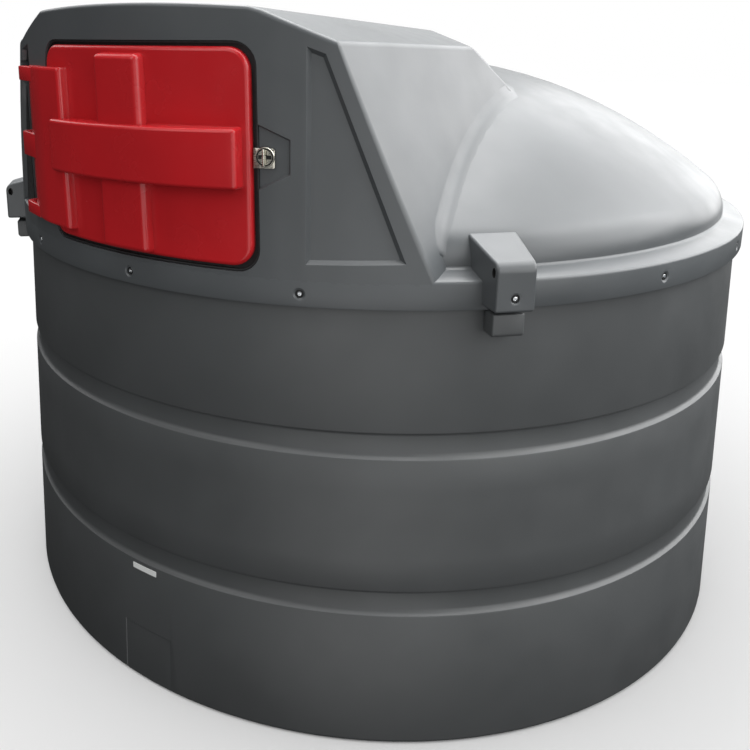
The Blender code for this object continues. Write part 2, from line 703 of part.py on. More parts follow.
def arm_outline():
    """Plan of a hinge arm: a knuckle on the pin, a web outwards and a plate to the hinge rib."""
    pin = on_wall(PIN_RADIUS_OUT, PIN_AZIMUTH, 0)
    across = on_wall(1, PIN_AZIMUTH + 90, 0)
    out = on_wall(1, PIN_AZIMUTH, 0)
    plate_in = DOOR_RADIUS + GAP - PIN_RADIUS_OUT
    plate_out = ARM_OUTER_RADIUS - PIN_RADIUS_OUT
    reach = radians(HINGE_RIB_AZIMUTHS[0] - PIN_AZIMUTH) * DOOR_RADIUS - GAP
    drop = DOOR_RADIUS * (1 - cos(radians(HINGE_RIB_AZIMUTHS[0] - PIN_AZIMUTH)))
    points = []
    turns = 14
    start = atan2(sqrt(KNUCKLE_R ** 2 - ARM_WEB_RIGHT ** 2), ARM_WEB_RIGHT)
    end = -pi - asin(sqrt(1 - (ARM_LEFT / KNUCKLE_R) ** 2))
    for i in range(turns + 1):
        turn = start + (end - start) * i / turns
        points.append((KNUCKLE_R * cos(turn), KNUCKLE_R * sin(turn)))
    for i in range(6):
        turn = radians(180 - 90 * i / 5)
        points.append((ARM_LEFT + ARM_CORNER * (1 + cos(turn)), plate_out - ARM_CORNER * (1 - sin(turn))))
    points.append((reach, plate_out - drop))
    points.append((reach, plate_in - drop))
    points.append((ARM_WEB_RIGHT + 0.006, plate_in))
    points.append((ARM_WEB_RIGHT, plate_in - 0.004))
    return [tuple((pin + across * t + out * n).xy) for t, n in points]


def build_door(red, pin_steel):
    """Door panel, three ribs, three hinge arms and the pin in the cabinet."""
    panel_box = rounded_box(*DOOR_AZIMUTHS, *DOOR_HEIGHTS, DOOR_CORNER)
    bent_plate("door_panel", panel_box, DOOR_INNER_RADIUS, DOOR_RADIUS, red)
    seat = DOOR_RADIUS + GAP
    low, high = CROSS_RIB_HEIGHTS
    bent_plate("door_rib_cross", plain_box(*CROSS_RIB_AZIMUTHS, low, high), seat, CROSS_RIB_RADIUS, red,
               RIB_ROUNDING)
    for label, azimuths, heights in (("middle", MIDDLE_RIB_AZIMUTHS, MIDDLE_RIB_HEIGHTS),
                                     ("hinge", HINGE_RIB_AZIMUTHS, HINGE_RIB_HEIGHTS)):
        foot, top = heights
        for part, box in (("upper", plain_box(*azimuths, high + GAP, top)),
                          ("lower", plain_box(*azimuths, foot, low - GAP))):
            bent_plate(f"door_rib_{label}_{part}", box, seat, RIB_RADIUS, red, RIB_ROUNDING)
    bridge = plain_box(HINGE_RIB_AZIMUTHS[0], CROSS_RIB_AZIMUTHS[0] - arc_angle(2 * GAP), low, high)
    bent_plate("door_rib_hinge_middle", bridge, seat, RIB_RADIUS, red, RIB_ROUNDING)
    outline = arm_outline()
    pin = on_wall(PIN_RADIUS_OUT, PIN_AZIMUTH, 0)
    for label, (foot, top) in zip(("lower", "middle", "upper"), ARM_HEIGHTS):
        arm = upright(f"hinge_arm_{label}", outline, foot, top, red)
        bore = cylinder(f"hinge_bore_{label}", KNUCKLE_BORE_R, foot - CUT_MARGIN, top + CUT_MARGIN, pin, None)
        combine(arm, make_cutter(bore), "DIFFERENCE")
    cylinder("hinge_pin", PIN_R, SLOT_HEIGHTS[0] + GAP, SLOT_HEIGHTS[1] - GAP, pin, pin_steel)


def hang_door():
    """Parent the door's pieces and the latch to an empty on the hinge's axis."""
    pivot = bpy.data.objects.new("door_pivot", None)
    bpy.context.collection.objects.link(pivot)
    pivot.location = on_wall(PIN_RADIUS_OUT, PIN_AZIMUTH, sum(SLOT_HEIGHTS) / 2)
    for piece in list(bpy.context.collection.objects):
        if piece.name.startswith(("door_", "hinge_arm", "hinge_bore", "hasp_", "latch_rose", "latch_wing")):
            if piece is not pivot:
                piece.parent = pivot
                piece.location -= pivot.location


def build_latch(nickel):
    """Hasp plate on the door's edge, with a round rose and a turning wing."""
    inner, outer = HASP_PLATE_RADII
    low, high = HASP_AZIMUTHS
    foot, top = HASP_HEIGHTS
    flange_end = low + arc_angle(HASP_FLANGE)
    plate = bent_plate("hasp_plate", plain_box(low, high, foot, top), inner, outer, nickel)
    edge = plain_box(low, flange_end, foot, top)
    flange = bent_plate("hasp_flange_part", edge, DOOR_INNER_RADIUS, outer, None)
    combine(plate, make_cutter(flange), "UNION")
    turn = Matrix.Rotation(radians(ROSE_AZIMUTH), 4, "Z")
    seat = outer + GAP
    bm = bmesh.new()
    bmesh.ops.create_cone(bm, cap_ends=True, segments=32, radius1=ROSE_R, radius2=ROSE_R,
                          depth=ROSE_THICKNESS)
    bmesh.ops.rotate(bm, verts=bm.verts, matrix=Matrix.Rotation(radians(90), 3, "X"))
    bmesh.ops.translate(bm, verts=bm.verts, vec=(0, -(seat + ROSE_THICKNESS / 2), ROSE_HEIGHT))
    bmesh.ops.transform(bm, verts=bm.verts, matrix=turn)
    make_object("latch_rose", bm, nickel)
    wing_seat = seat + ROSE_THICKNESS + GAP
    bm = bmesh.new()
    bmesh.ops.create_cube(bm, size=1.0)
    bmesh.ops.scale(bm, verts=bm.verts, vec=(WING_THICKNESS, WING_RISE, WING_LENGTH))
    bmesh.ops.translate(bm, verts=bm.verts, vec=(0, -WING_RISE / 2, 0))
    bmesh.ops.transform(bm, verts=bm.verts, matrix=turn)
    wing = make_object("latch_wing", bm, nickel)
    wing.location = on_wall(wing_seat, ROSE_AZIMUTH, ROSE_HEIGHT)


def build_cover_lugs(plastic):
    """Four lifting lugs on the cover, over the lug blocks of the body."""
    step = 2 * GAP
    face = RIM_RADIUS + step
    bend = []
    for i in range(5):
        turn = radians(90 * i / 4)
        bend.append((LUG_RADIUS - LUG_BEND * (1 - cos(turn)), LUG_OUTER_TOP - LUG_BEND * (1 - sin(turn))))
    outline = [(face, LUG_FOOT), (LUG_RADIUS, LUG_FOOT)] + bend
    shoulder, wall_top = dome_shoulder()
    inner_reach = DOME_RADIUS * ((DOME_TOP - LUG_INNER_TOP) / DOME_DROP) ** (1 / DOME_POWER)
    outline += [(inner_reach + 0.004, LUG_INNER_TOP), (shoulder[0] + 0.001, shoulder[1] + step),
                (wall_top[0] + step, wall_top[1]), (DOME_FOOT[0] + step, RIM_LEDGE_INNER[1] + step),
                (RIM_LEDGE_INNER[0] + 0.002, RIM_LEDGE_INNER[1] + step),
                (RIM_LEDGE_OUTER[0] + 0.002, RIM_LEDGE_OUTER[1] + step), (face, RIM_FACE_TOP)]
    for i, azimuth in enumerate(LUG_AZIMUTHS):
        lug = prism(f"cover_lug_{i + 1}", outline, LUG_WIDTH, plastic)
        lug.rotation_euler.z = radians(azimuth)


def main():
    clear_scene()
    anthracite = make_material("anthracite_plastic", (0.075, 0.080, 0.082), 0.42)
    red = make_material("red_plastic", (0.480, 0.018, 0.022), 0.32)
    nickel = make_material("nickel_plate", (0.560, 0.540, 0.470), 0.30, 1.0)
    steel = make_material("pin_steel", (0.400, 0.400, 0.400), 0.35, 1.0)
    build_body(anthracite)
    build_rim(anthracite)
    build_dome(anthracite)
    build_front(anthracite)
    build_side_walls(anthracite)
    build_roof(anthracite)
    build_inner_top(anthracite)
    build_cover_lugs(anthracite)
    build_door(red, steel)
    build_latch(nickel)
    hang_door()


main()
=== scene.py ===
"""Visual model of a round bunded diesel tank with a moulded cover, a dome and a door cabinet.

Metres, +Z up, the door facing -Y. Places on the round wall are an azimuth in degrees, 0 at the front
and growing towards +X, and a height. Plates on the wall are modelled flat, with X along the arc and
+Y inwards, and are then bent round the axis.
"""
from math import atan2, cos, degrees, hypot, pi, radians, sin, sqrt, tan

import bmesh
import bpy
from mathutils import Matrix, Vector


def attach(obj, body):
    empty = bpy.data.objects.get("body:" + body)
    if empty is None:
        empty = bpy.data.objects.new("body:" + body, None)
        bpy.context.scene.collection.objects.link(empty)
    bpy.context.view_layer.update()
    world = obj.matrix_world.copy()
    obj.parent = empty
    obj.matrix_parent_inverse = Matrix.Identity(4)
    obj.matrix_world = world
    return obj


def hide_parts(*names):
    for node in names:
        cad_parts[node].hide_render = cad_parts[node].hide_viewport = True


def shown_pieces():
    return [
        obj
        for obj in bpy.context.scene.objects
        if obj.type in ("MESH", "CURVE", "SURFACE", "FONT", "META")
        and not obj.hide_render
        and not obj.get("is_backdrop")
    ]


bl_info = {
    "name": "Round Bunded Tank",
    "version": (1, 0, 0),
    "blender": (4, 5, 0),
    "location": "View3D > Sidebar > Tank",
    "description": "Builds the moulded skin, door, fittings and stage of a round bunded tank",
    "category": "Object",
}

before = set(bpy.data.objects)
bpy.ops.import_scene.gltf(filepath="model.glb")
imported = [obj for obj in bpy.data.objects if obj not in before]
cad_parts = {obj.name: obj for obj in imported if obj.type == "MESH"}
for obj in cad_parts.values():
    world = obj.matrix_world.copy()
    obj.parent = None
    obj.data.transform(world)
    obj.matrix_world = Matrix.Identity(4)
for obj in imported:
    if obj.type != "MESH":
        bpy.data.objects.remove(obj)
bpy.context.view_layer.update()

# Body
BODY_TOP_RADIUS = 1.137
BODY_FOOT_RADIUS = 1.168
BODY_HEIGHT = 1.187
BODY_WALL = 0.020
FLOOR_TOP = 0.016
GROOVE_TOPS = (0.426, 0.832)
GROOVE_HEIGHT = 0.066
GROOVE_FOOT_STEPS = ((-0.0028, 0.0), (0.0, 0.0009), (0.0022, 0.0036), (0.0050, 0.0076), (0.0085, 0.0102),
                     (0.0130, 0.0110))
GROOVE_TOP_STEPS = ((-0.012, 0.011), (-0.008, 0.0105), (-0.005, 0.0085), (-0.002, 0.0040), (0.0, 0.0012),
                    (0.003, 0.0))
FOOT_ROUND = 0.013
FOOT_LIFT = 0.0004
# Painted shade: share of the body's colour that is left at its foot, darker towards the bottom
PAINTED_FOOT_SHADE = 0.64
FOOT_PANEL = ((-3.4, -0.03), (5.0, -0.03), (5.0, 0.165), (-3.4, 0.165))

# Rim and dome of the cover
RIM_RADIUS = 1.155
RIM_FOOT = 1.130
SHELL = 0.010
DOME_TOP = 1.650
DOME_DROP = 0.376
DOME_RADIUS = 1.087
DOME_POWER = 2.4
SHOULDER_START = 1.0585
SHOULDER_CENTRE = (0.9929, 1.2152)
SHOULDER_RADIUS = 0.105
SHOULDER_TURN = 38.65

# Cabinet
CABINET_FOOT_AZIMUTH = 37.16
CABINET_EAVE_AZIMUTH = 26.30
CABINET_EAVE = 1.709
CABINET_FOOT = 1.200
RIDGE_AZIMUTH = 16.80
RIDGE_FRONT = 1.781
ROOF_CROWN = 0.008
RIDGE_FALL = 0.056
EAVE_FALL = 0.030
ROOF_REAR_MIDDLE = -0.150
ROOF_REAR_CORNER = -0.374
SLOPE_FOOT_MIDDLE = -0.010
SLOPE_FOOT_CORNER = -0.185
ROOF_HALF_WIDTH = 0.5203
CORNER_HALF_WIDTH = 0.562
FRONT_WALL = 0.021
CABINET_BASE = 1.187
SIDE_LEAN = 1.065
SLOPE_OVERRUN = 0.9
CABINET_HEAD = -1.235
DRUM_TOP = 1.95

# Crease between cabinet and dome
CREASE_START = 0.004
CREASE_REACH = 0.028
CREASE_TURN = 84.0
CREASE_CORNER = 1.556
CABINET_MIDDLE = Vector((0.0, -0.6, 1.4))

# Doorway and recesses
DOORWAY = ((-16.0, 1.200), (18.1, 1.200), (17.75, 1.707), (-16.0, 1.707))
DOORWAY_CORNER = 0.055
SIDE_RECESS = ((23.2, 1.228), (34.1, 1.235), (25.2, 1.680), (23.2, 1.695))
HINGE_RECESS = ((-34.1, 1.235), (-22.2, 1.228), (-22.2, 1.695), (-25.2, 1.680))
LATCH_RECESS = ((16.6, 1.372), (17.6, 1.385), (21.5, 1.424), (21.5, 1.501), (17.6, 1.535), (16.6, 1.548))
HINGE_SLOT = (-26.9, -22.35, 1.232, 1.650)
HINGE_RECESS_DEPTH = 0.012

# Door
DOOR = ((-15.3, 1.213), (17.35, 1.213), (17.0, 1.695), (-15.3, 1.695))
DOOR_CORNER = 0.052
DOOR_INNER = 1.143
DOOR_FACE = 1.161
MIDDLE_RIB = ((-2.9, 1.219), (4.5, 1.219), (3.9, 1.680), (-3.2, 1.680))
HINGE_RIB = ((-21.6, 1.240), (-9.3, 1.240), (-9.9, 1.640), (-21.6, 1.640))
HINGE_RIB_FLANK = ((-21.6, 1.1590), (-21.1, 1.1645), (-20.2, 1.1700), (-19.2, 1.1745), (-18.1, 1.1785),
                   (-16.9, 1.1815), (-15.6, 1.1838), (-14.2, 1.1850))
CROSS_RIB = ((-12.2, 1.384), (16.3, 1.390), (16.2, 1.527), (-12.2, 1.518))
CROSS_RIB_FLATTENING = 0.010
RIB_FACE = 1.185
CROSS_RIB_FACE = 1.205
PIN = (1.140, -23.6)
PIN_R = 0.0048
KNUCKLE_R = 0.012
ARM_HEIGHTS = ((1.240, 1.272), (1.400, 1.464), (1.600, 1.637))
ARM_FACE = 1.178
ARM_END = -18.2

# Lock
HASP = (17.35, 19.75, 1.437, 1.481)
HASP_RADII = (1.150, 1.153)
ROSE = (18.68, 1.462)
ROSE_R = 0.022

# Lugs and bolts
LUG_AZIMUTHS = (45.0, 135.0, 225.0, 315.0)
LUG_WIDTH = 0.090
LUG_FLARE = 0.19
LUG_FACE = 1.215
LUG_FOOT = 1.141
LUG_OUTER_TOP = 1.255
LUG_BEND = 0.026
LUG_INNER_TOP = 1.286
LUG_HOLE = (0.0, -1.2000, 1.2280)
LUG_HOLE_R = 0.0115
BODY_LUG = (0.074, 1.188, 1.076, 1.1297)
LUG_BOLT_HEIGHT = 1.172
CUP_WELL = 0.0100
CUP_DEPTH = 0.0055
BOLT_AZIMUTHS = (-22.5, 0.0, 22.5, 67.5, 90.0, 112.5, 157.5, 180.0, 202.5, 247.5, 270.0, 292.5)
BOLT_HEIGHT = 1.160

# Label
LABEL = (-1.5, 2.6, 0.334, 0.350)

# Camera
CAMERA_PLACE = (1.4709, -2.5476, 1.7211)
CAMERA_TILT = 13.8782
CAMERA_YAW = -5.872
CAMERA_AZIMUTH = 30.0
CAMERA_LENS = 40.822
CAMERA_SHIFT = (0.1217, -0.1753)

# Radius at which a turned profile is closed to a point
POLE = 0.00005

# Light: azimuth, rise and strength of each soft panel round the tank
PANEL_LIGHTS = {"top_light": (0, 89, 2.0), "high_back_light": (210, 60, 3.2),
                "high_right_light": (120, 60, 2.0), "right_light": (120, 30, 2.5),
                "low_right_light": (75, 15, 1.5), "back_light": (165, 20, 2.0),
                "far_back_light": (210, 30, 0.5), "left_light": (255, 40, 1.0),
                "front_light": (345, 35, 1.0), "low_front_light": (30, -20, 0.7)}
PANEL_WIDTH = 50.0
FLOOR_LIGHT = 3.75
FLOOR_LIGHT_WIDTH = 140.0
FLOOR_SHADE = (0.86, 0.86, 0.86, 1.0)
SKY_STRENGTH = 0.02
WHITE = (1.0, 1.0, 1.0, 1.0)

# How finely round shapes are cut, and how far a cutter reaches out of and into the front
TURNED_SIDES = 240
CUTTER_OUT = 0.03
CUTTER_IN = -0.06
STRIPS = [1.5 * i for i in range(-30, 31)]
FRONT_COLUMNS = [0.0, 1.9, 3.8, 5.7, 7.6, 9.5, 11.3, 13.15, 15.0, 16.8, 18.9, 20.5, 22.75, 24.2, 26.373,
                 27.9, 29.5, 31.1, 32.9, 35.3, 37.16, 38.7, 40.5]
FRONT_STRIPS = [-azimuth for azimuth in reversed(FRONT_COLUMNS[1:])] + FRONT_COLUMNS


def arc(azimuth):
    """Length along the wall at an azimuth, on a flat plate that is still to be bent."""
    return RIM_RADIUS * radians(azimuth)


def on_wall(radius, azimuth, height):
    """The point at a radius, an azimuth in degrees and a height."""
    turn = radians(azimuth)
    return Vector((radius * sin(turn), -radius * cos(turn), height))


def shoulder(turn):
    """Radius and height on the dome's round shoulder, at an angle from upright in degrees."""
    radius, height = SHOULDER_CENTRE
    return (radius + SHOULDER_RADIUS * sin(radians(turn)), height + SHOULDER_RADIUS * cos(radians(turn)))


def body_radius(height):
    """Radius of the outer tank, clear of its grooves."""
    return BODY_FOOT_RADIUS + (BODY_TOP_RADIUS - BODY_FOOT_RADIUS) * height / RIM_FOOT


def dome_height(radius):
    """Height of the dome's outer surface inside its shoulder."""
    return DOME_TOP - DOME_DROP * (radius / DOME_RADIUS) ** DOME_POWER


def side_wall_x(height):
    """Half width of the cabinet at a height."""
    eave = RIM_RADIUS * sin(radians(CABINET_EAVE_AZIMUTH))
    foot = RIM_RADIUS * sin(radians(CABINET_FOOT_AZIMUTH))
    return eave + (foot - eave) * (CABINET_EAVE - height) / (CABINET_EAVE - CABINET_FOOT)


def roof_rear(x):
    """How far back the roof reaches at a distance from the middle."""
    return ROOF_REAR_MIDDLE + (ROOF_REAR_CORNER - ROOF_REAR_MIDDLE) * (x / ROOF_HALF_WIDTH) ** 2


def slope_foot(x):
    """How far back the rear slope reaches, where it runs into the dome."""
    return SLOPE_FOOT_MIDDLE + (SLOPE_FOOT_CORNER - SLOPE_FOOT_MIDDLE) * (x / CORNER_HALF_WIDTH) ** 2


RIDGE_X = RIM_RADIUS * sin(radians(RIDGE_AZIMUTH))


def roof_height(x, y):
    """Height of the roof: a crowned middle between two falling chamfers."""
    ridge = RIDGE_FRONT - RIDGE_FALL * (y + RIM_RADIUS)
    reach = abs(x)
    if reach <= RIDGE_X:
        return ridge + ROOF_CROWN * (1 - (reach / RIDGE_X) ** 2)
    eave = CABINET_EAVE - EAVE_FALL * (y + RIM_RADIUS)
    share = (reach - RIDGE_X) / (side_wall_x(eave) - RIDGE_X)
    return ridge + (eave - ridge) * share


def let_go():
    """Leave edit mode and deselect every object."""
    if bpy.context.object and bpy.context.object.mode != "OBJECT":
        bpy.ops.object.mode_set(mode="OBJECT")
    bpy.ops.object.select_all(action="DESELECT")


def take(piece):
    """Make one object the only selected and the active one."""
    let_go()
    bpy.context.view_layer.objects.active = piece
    piece.select_set(True)
    return piece


def edit_all(piece):
    """Open a piece in edit mode with everything selected."""
    take(piece)
    bpy.ops.object.mode_set(mode="EDIT")
    bpy.ops.mesh.select_mode(type="VERT")
    bpy.ops.mesh.select_all(action="SELECT")


def edit_edges(piece, test):
    """Open a piece in edit mode with only the edges selected whose two ends pass a test."""
    take(piece)
    bpy.ops.object.mode_set(mode="EDIT")
    bpy.ops.mesh.select_mode(type="EDGE")
    bpy.ops.mesh.select_all(action="DESELECT")
    bm = bmesh.from_edit_mesh(piece.data)
    for edge in bm.edges:
        if test(edge.verts[0].co, edge.verts[1].co):
            edge.select_set(True)
    bm.select_flush_mode()
    bmesh.update_edit_mesh(piece.data)


def modify(piece, kind, **settings):
    """Add a modifier to a piece and apply it."""
    take(piece)
    modifier = piece.modifiers.new(kind.title(), kind)
    for key, value in settings.items():
        setattr(modifier, key, value)
    bpy.ops.object.modifier_apply(modifier=modifier.name)
    return piece


def join_or_cut(piece, other, operation):
    """Apply an exact Boolean of another object to a piece, and remove that object."""
    modify(piece, "BOOLEAN", operation=operation, solver="EXACT", object=other)
    bpy.data.objects.remove(other, do_unlink=True)
    return piece


def round_edges(piece, width, segments=3, angle=30.0):
    """Bevel every edge of a piece that is sharper than an angle."""
    return modify(piece, "BEVEL", width=width, segments=segments, limit_method="ANGLE",
                  angle_limit=radians(angle), use_clamp_overlap=True, harden_normals=False)


def loft(name, rings):
    """Set a filled circle's corners on the first ring, then extrude it on to each of the others."""
    let_go()
    bpy.ops.mesh.primitive_circle_add(vertices=len(rings[0]), radius=1.0, fill_type="NGON")
    piece = bpy.context.object
    piece.name = name
    for vert, place in zip(piece.data.vertices, rings[0]):
        vert.co = place
    for ring, last in zip(rings[1:], rings):
        bpy.ops.object.mode_set(mode="EDIT")
        bpy.ops.mesh.extrude_region_move()
        bpy.ops.object.mode_set(mode="OBJECT")
        fresh = [vert for vert in piece.data.vertices if vert.select]
        for place, before in zip(ring, last):
            vert = min(fresh, key=lambda v: (v.co - Vector(before)).length)
            fresh.remove(vert)
            vert.co = place
    tidy_normals(piece)
    return piece


def tidy_normals(piece):
    """Turn all faces of a closed piece outwards."""
    edit_all(piece)
    bpy.ops.mesh.normals_make_consistent(inside=False)
    bpy.ops.object.mode_set(mode="OBJECT")


def turn_profile(name, profile, sides):
    """Start from a circle, then extrude and scale it through a (radius, height) profile, and close it."""
    let_go()
    radius, height = profile[0]
    bpy.ops.mesh.primitive_circle_add(vertices=sides, radius=1.0, fill_type="NOTHING",
                                      location=(0, 0, height))
    piece = bpy.context.object
    piece.name = name
    bpy.ops.object.mode_set(mode="EDIT")
    bpy.ops.mesh.select_all(action="SELECT")
    bpy.ops.transform.resize(value=(radius, radius, 1.0), center_override=(0, 0, height))
    path = list(profile[1:])
    if min(profile[0][0], profile[-1][0]) > POLE:
        path.append(profile[0])
    for next_radius, next_height in path:
        bpy.ops.mesh.extrude_region_move(
            TRANSFORM_OT_translate={"value": (0, 0, next_height - height)})
        scale = next_radius / radius
        bpy.ops.transform.resize(value=(scale, scale, 1.0), center_override=(0, 0, next_height))
        radius, height = next_radius, next_height
    bpy.ops.mesh.select_all(action="SELECT")
    bpy.ops.mesh.remove_doubles(threshold=0.0002)
    bpy.ops.mesh.delete_loose(use_verts=True, use_edges=True)
    if profile[-1][0] == POLE < profile[0][0]:
        bpy.ops.mesh.select_all(action="DESELECT")
        bpy.ops.mesh.select_non_manifold(extend=False)
        bpy.ops.mesh.edge_face_add()
    bpy.ops.mesh.select_all(action="SELECT")
    bpy.ops.mesh.normals_make_consistent(inside=False)
    bpy.ops.object.mode_set(mode="OBJECT")
    bpy.ops.object.transform_apply(location=True, rotation=True, scale=True)
    return piece


def flat(points, lift):
    """Places of an (azimuth, height) outline on a flat plate, at a lift out from the rim's radius."""
    return [(arc(azimuth), -lift, height) for azimuth, height in points]


def plate(name, outline, low, high):
    """A flat plate of an (azimuth, height) outline, between two lifts out from the rim's radius."""
    return loft(name, [flat(outline, low), flat(outline, high)])


def inset(points, distance):
    """An (azimuth, height) outline, counter-clockwise, with every side moved inwards by a distance."""
    corners = [Vector((arc(azimuth), height)) for azimuth, height in points]
    count = len(corners)
    result = []
    for i in range(count):
        before, here, after = corners[i - 1], corners[i], corners[(i + 1) % count]
        first = (here - before).normalized()
        second = (after - here).normalized()
        normal = Vector((-first.y, first.x)) + Vector((-second.y, second.x))
        normal /= max(0.3, normal.dot(Vector((-first.y, first.x))))
        moved = here + normal * distance
        result.append((degrees(moved.x / RIM_RADIUS), moved.y))
    return result


def round_corners(points, corner, steps=7):
    """An (azimuth, height) outline, counter-clockwise, with its corners rounded."""
    places = [Vector((arc(azimuth), height)) for azimuth, height in points]
    result = []
    for i, here in enumerate(places):
        back = (places[i - 1] - here).normalized()
        ahead = (places[(i + 1) % len(places)] - here).normalized()
        half = back.angle(ahead) / 2
        start, end = here + back * corner / tan(half), here + ahead * corner / tan(half)
        centre = here + (back + ahead).normalized() * corner / sin(half)
        sweep = pi - 2 * half
        for step in range(steps + 1):
            share = step / steps
            spoke = (start - centre) * sin(sweep * (1 - share)) + (end - centre) * sin(sweep * share)
            place = centre + spoke / sin(sweep)
            result.append((degrees(place.x / RIM_RADIUS), place.y))
    return result


def plain_box(box):
    """An (azimuth, height) rectangle, counter-clockwise from the lower left."""
    low, high, foot, top = box
    return [(low, foot), (high, foot), (high, top), (low, top)]


def bend_round(piece, azimuths=STRIPS):
    """Cut a flat plate into upright strips at some azimuths and bend it round the axis."""
    low = min(vert.co.x for vert in piece.data.vertices)
    high = max(vert.co.x for vert in piece.data.vertices)
    edit_all(piece)
    for place in map(arc, azimuths):
        if low + 0.0005 < place < high - 0.0005:
            bpy.ops.mesh.select_all(action="SELECT")
            bpy.ops.mesh.bisect(plane_co=(place, 0, 0), plane_no=(1, 0, 0))
    bpy.ops.object.mode_set(mode="OBJECT")
    for vert in piece.data.vertices:
        vert.co = on_wall(RIM_RADIUS - vert.co.y, degrees(vert.co.x / RIM_RADIUS), vert.co.z)
    piece.data.update()
    return piece


def turn_to(piece, azimuth):
    """Turn a piece that was modelled at the front to its azimuth, with its place in its mesh."""
    piece.data.transform(Matrix.Rotation(radians(azimuth), 4, "Z"))
    return piece


def cylinder(radius, depth, **place):
    """A plain cylinder."""
    let_go()
    bpy.ops.mesh.primitive_cylinder_add(vertices=24, radius=radius, depth=depth, **place)
    return bpy.context.object


def brick(place, size):
    """A plain box of a size round a place."""
    let_go()
    bpy.ops.mesh.primitive_cube_add(size=1.0, location=place, scale=size)
    return bpy.context.object


def copy_of(piece):
    """A copy of a piece, with a mesh of its own."""
    copy = piece.copy()
    copy.data = piece.data.copy()
    bpy.context.collection.objects.link(copy)
    return copy


def off_axis(face, place, axis):
    """How far the middle of a face lies from the line through a place along an axis."""
    spoke = face.center - place
    return (spoke - axis * spoke.dot(axis)).length


def darken(piece, faces):
    """Give some faces of a finished piece the near-black shadow finish."""
    piece.data.materials.append(finish_of("shadow"))
    for face in faces:
        face.material_index = 1


def done(piece, name, kind, nodes=(), angle=30.0, body="tank"):
    """Name and shade a finished piece, give it its finish and body, and hide the nodes that it stands for.
    """
    take(piece)
    bpy.ops.object.transform_apply(location=True, rotation=True, scale=True)
    bpy.ops.object.shade_smooth_by_angle(angle=radians(angle))
    piece.name = name
    piece.data.name = name
    piece.data.materials.clear()
    piece.data.materials.append(finish_of(kind))
    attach(piece, body)
    if nodes:
        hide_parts(*nodes)


def weigh_normals(piece):
    """Let large faces rule the shading next to their small rounded edges."""
    modify(piece, "WEIGHTED_NORMAL", weight=100, keep_sharp=True)


class Finish:
    """Node material on object coordinates, made step by step."""

    def __init__(self, name):
        self.material = bpy.data.materials.new(name)
        self.material.use_nodes = True
        self.tree = self.material.node_tree
        self.shader = self.tree.nodes["Principled BSDF"]
        self.place = self.node("TexCoord").outputs["Object"]

    def node(self, kind, operation=None, **values):
        """A new node of a kind, with a constant or a link on each input that is named."""
        node = self.tree.nodes.new("ShaderNode" + kind)
        if operation:
            node.operation = operation
        for key, value in values.items():
            socket = node.inputs[key.replace("_", " ")]
            if isinstance(value, bpy.types.NodeSocket):
                self.tree.links.new(value, socket)
            else:
                socket.default_value = value
        return node

    def feed(self, key, output):
        """Link an output to one of the shader's own inputs."""
        self.tree.links.new(output, self.shader.inputs[key])

    def noise(self, scale, detail=2.0, stretch=(1, 1, 1)):
        """Noise over the object coordinates, stretched along an axis where asked."""
        mapping = self.node("Mapping", Vector=self.place, Scale=stretch)
        cloud = self.node("TexNoise", Vector=mapping.outputs["Vector"], Scale=scale, Detail=detail)
        return cloud.outputs["Fac"]

    def colour(self, factor, dark, light):
        """Colour that runs between two shades with a pattern."""
        ramp = self.node("ValToRGB", Fac=factor)
        for end, position, shade in zip(ramp.color_ramp.elements, (0.35, 0.65), (dark, light)):
            end.position = position
            end.color = (*shade, 1.0)
        self.feed("Base Color", ramp.outputs["Color"])

    def fade(self, painted_foot_shade):
        """Paint shade on the colour towards the foot of the tank, darkening it down to a share of itself."""
        colour = self.shader.inputs["Base Color"].links[0].from_socket
        height = self.node("SeparateXYZ", Vector=self.place).outputs["Z"]
        share = self.node("MapRange", Value=height, From_Max=RIM_FOOT, To_Min=painted_foot_shade).outputs["Result"]
        shade = self.node("VectorMath", "SCALE", Vector=colour, Scale=share)
        self.feed("Base Color", shade.outputs["Vector"])

    def roughness(self, factor, low, high):
        """Roughness that runs between two values with a pattern."""
        share = self.node("MapRange", Value=factor, From_Min=0.3, From_Max=0.7, To_Min=low, To_Max=high)
        self.feed("Roughness", share.outputs["Result"])

    def relief(self, *layers):
        """Fine relief from one or two (pattern, distance) layers."""
        below = {}
        for factor, distance in layers:
            bump = self.node("Bump", Height=factor, Strength=1.0, Distance=distance, **below)
            below = {"Normal": bump.outputs["Normal"]}
        self.feed("Normal", below["Normal"])


def moulded(name, colour, rough, texture=0.00010, wave=0.0005, painted_foot_shade=1.0):
    """Rotationally moulded plastic: faint cloudy shade, semi-gloss, with a fine orange-peel skin, and
    painted shade towards the foot where a share below one is given.
    """
    finish = Finish(name)
    finish.colour(finish.noise(3.0, 4.0), [c * 0.93 for c in colour], [c * 1.07 for c in colour])
    # Painted shade: the colour darkens towards the foot of the tank
    finish.fade(painted_foot_shade)
    finish.roughness(finish.noise(9.0, 3.0), rough - 0.04, rough + 0.05)
    finish.relief((finish.noise(260.0, 2.0), texture), (finish.noise(5.0, 0.0), wave))
    return finish.material


def plated(name, colour, rough):
    """Bright plated metal with fine drawn lines and cloudy dulling."""
    finish = Finish(name)
    finish.colour(finish.noise(60.0, 3.0), [c * 0.85 for c in colour], colour)
    finish.roughness(finish.noise(140.0, 2.0, (1, 1, 9)), rough - 0.06, rough + 0.10)
    finish.relief((finish.noise(700.0, 2.0, (1, 1, 6)), 0.00004))
    finish.shader.inputs["Metallic"].default_value = 1.0
    return finish.material


def rubber(name, colour):
    """Dull black rubber."""
    finish = Finish(name)
    finish.colour(finish.noise(40.0, 3.0), [c * 0.7 for c in colour], colour)
    finish.roughness(finish.noise(90.0, 2.0), 0.55, 0.75)
    finish.relief((finish.noise(600.0, 2.0), 0.00006))
    return finish.material


def settings():
    """The tank's own settings in the scene."""
    return bpy.context.scene.tank


_materials = {}


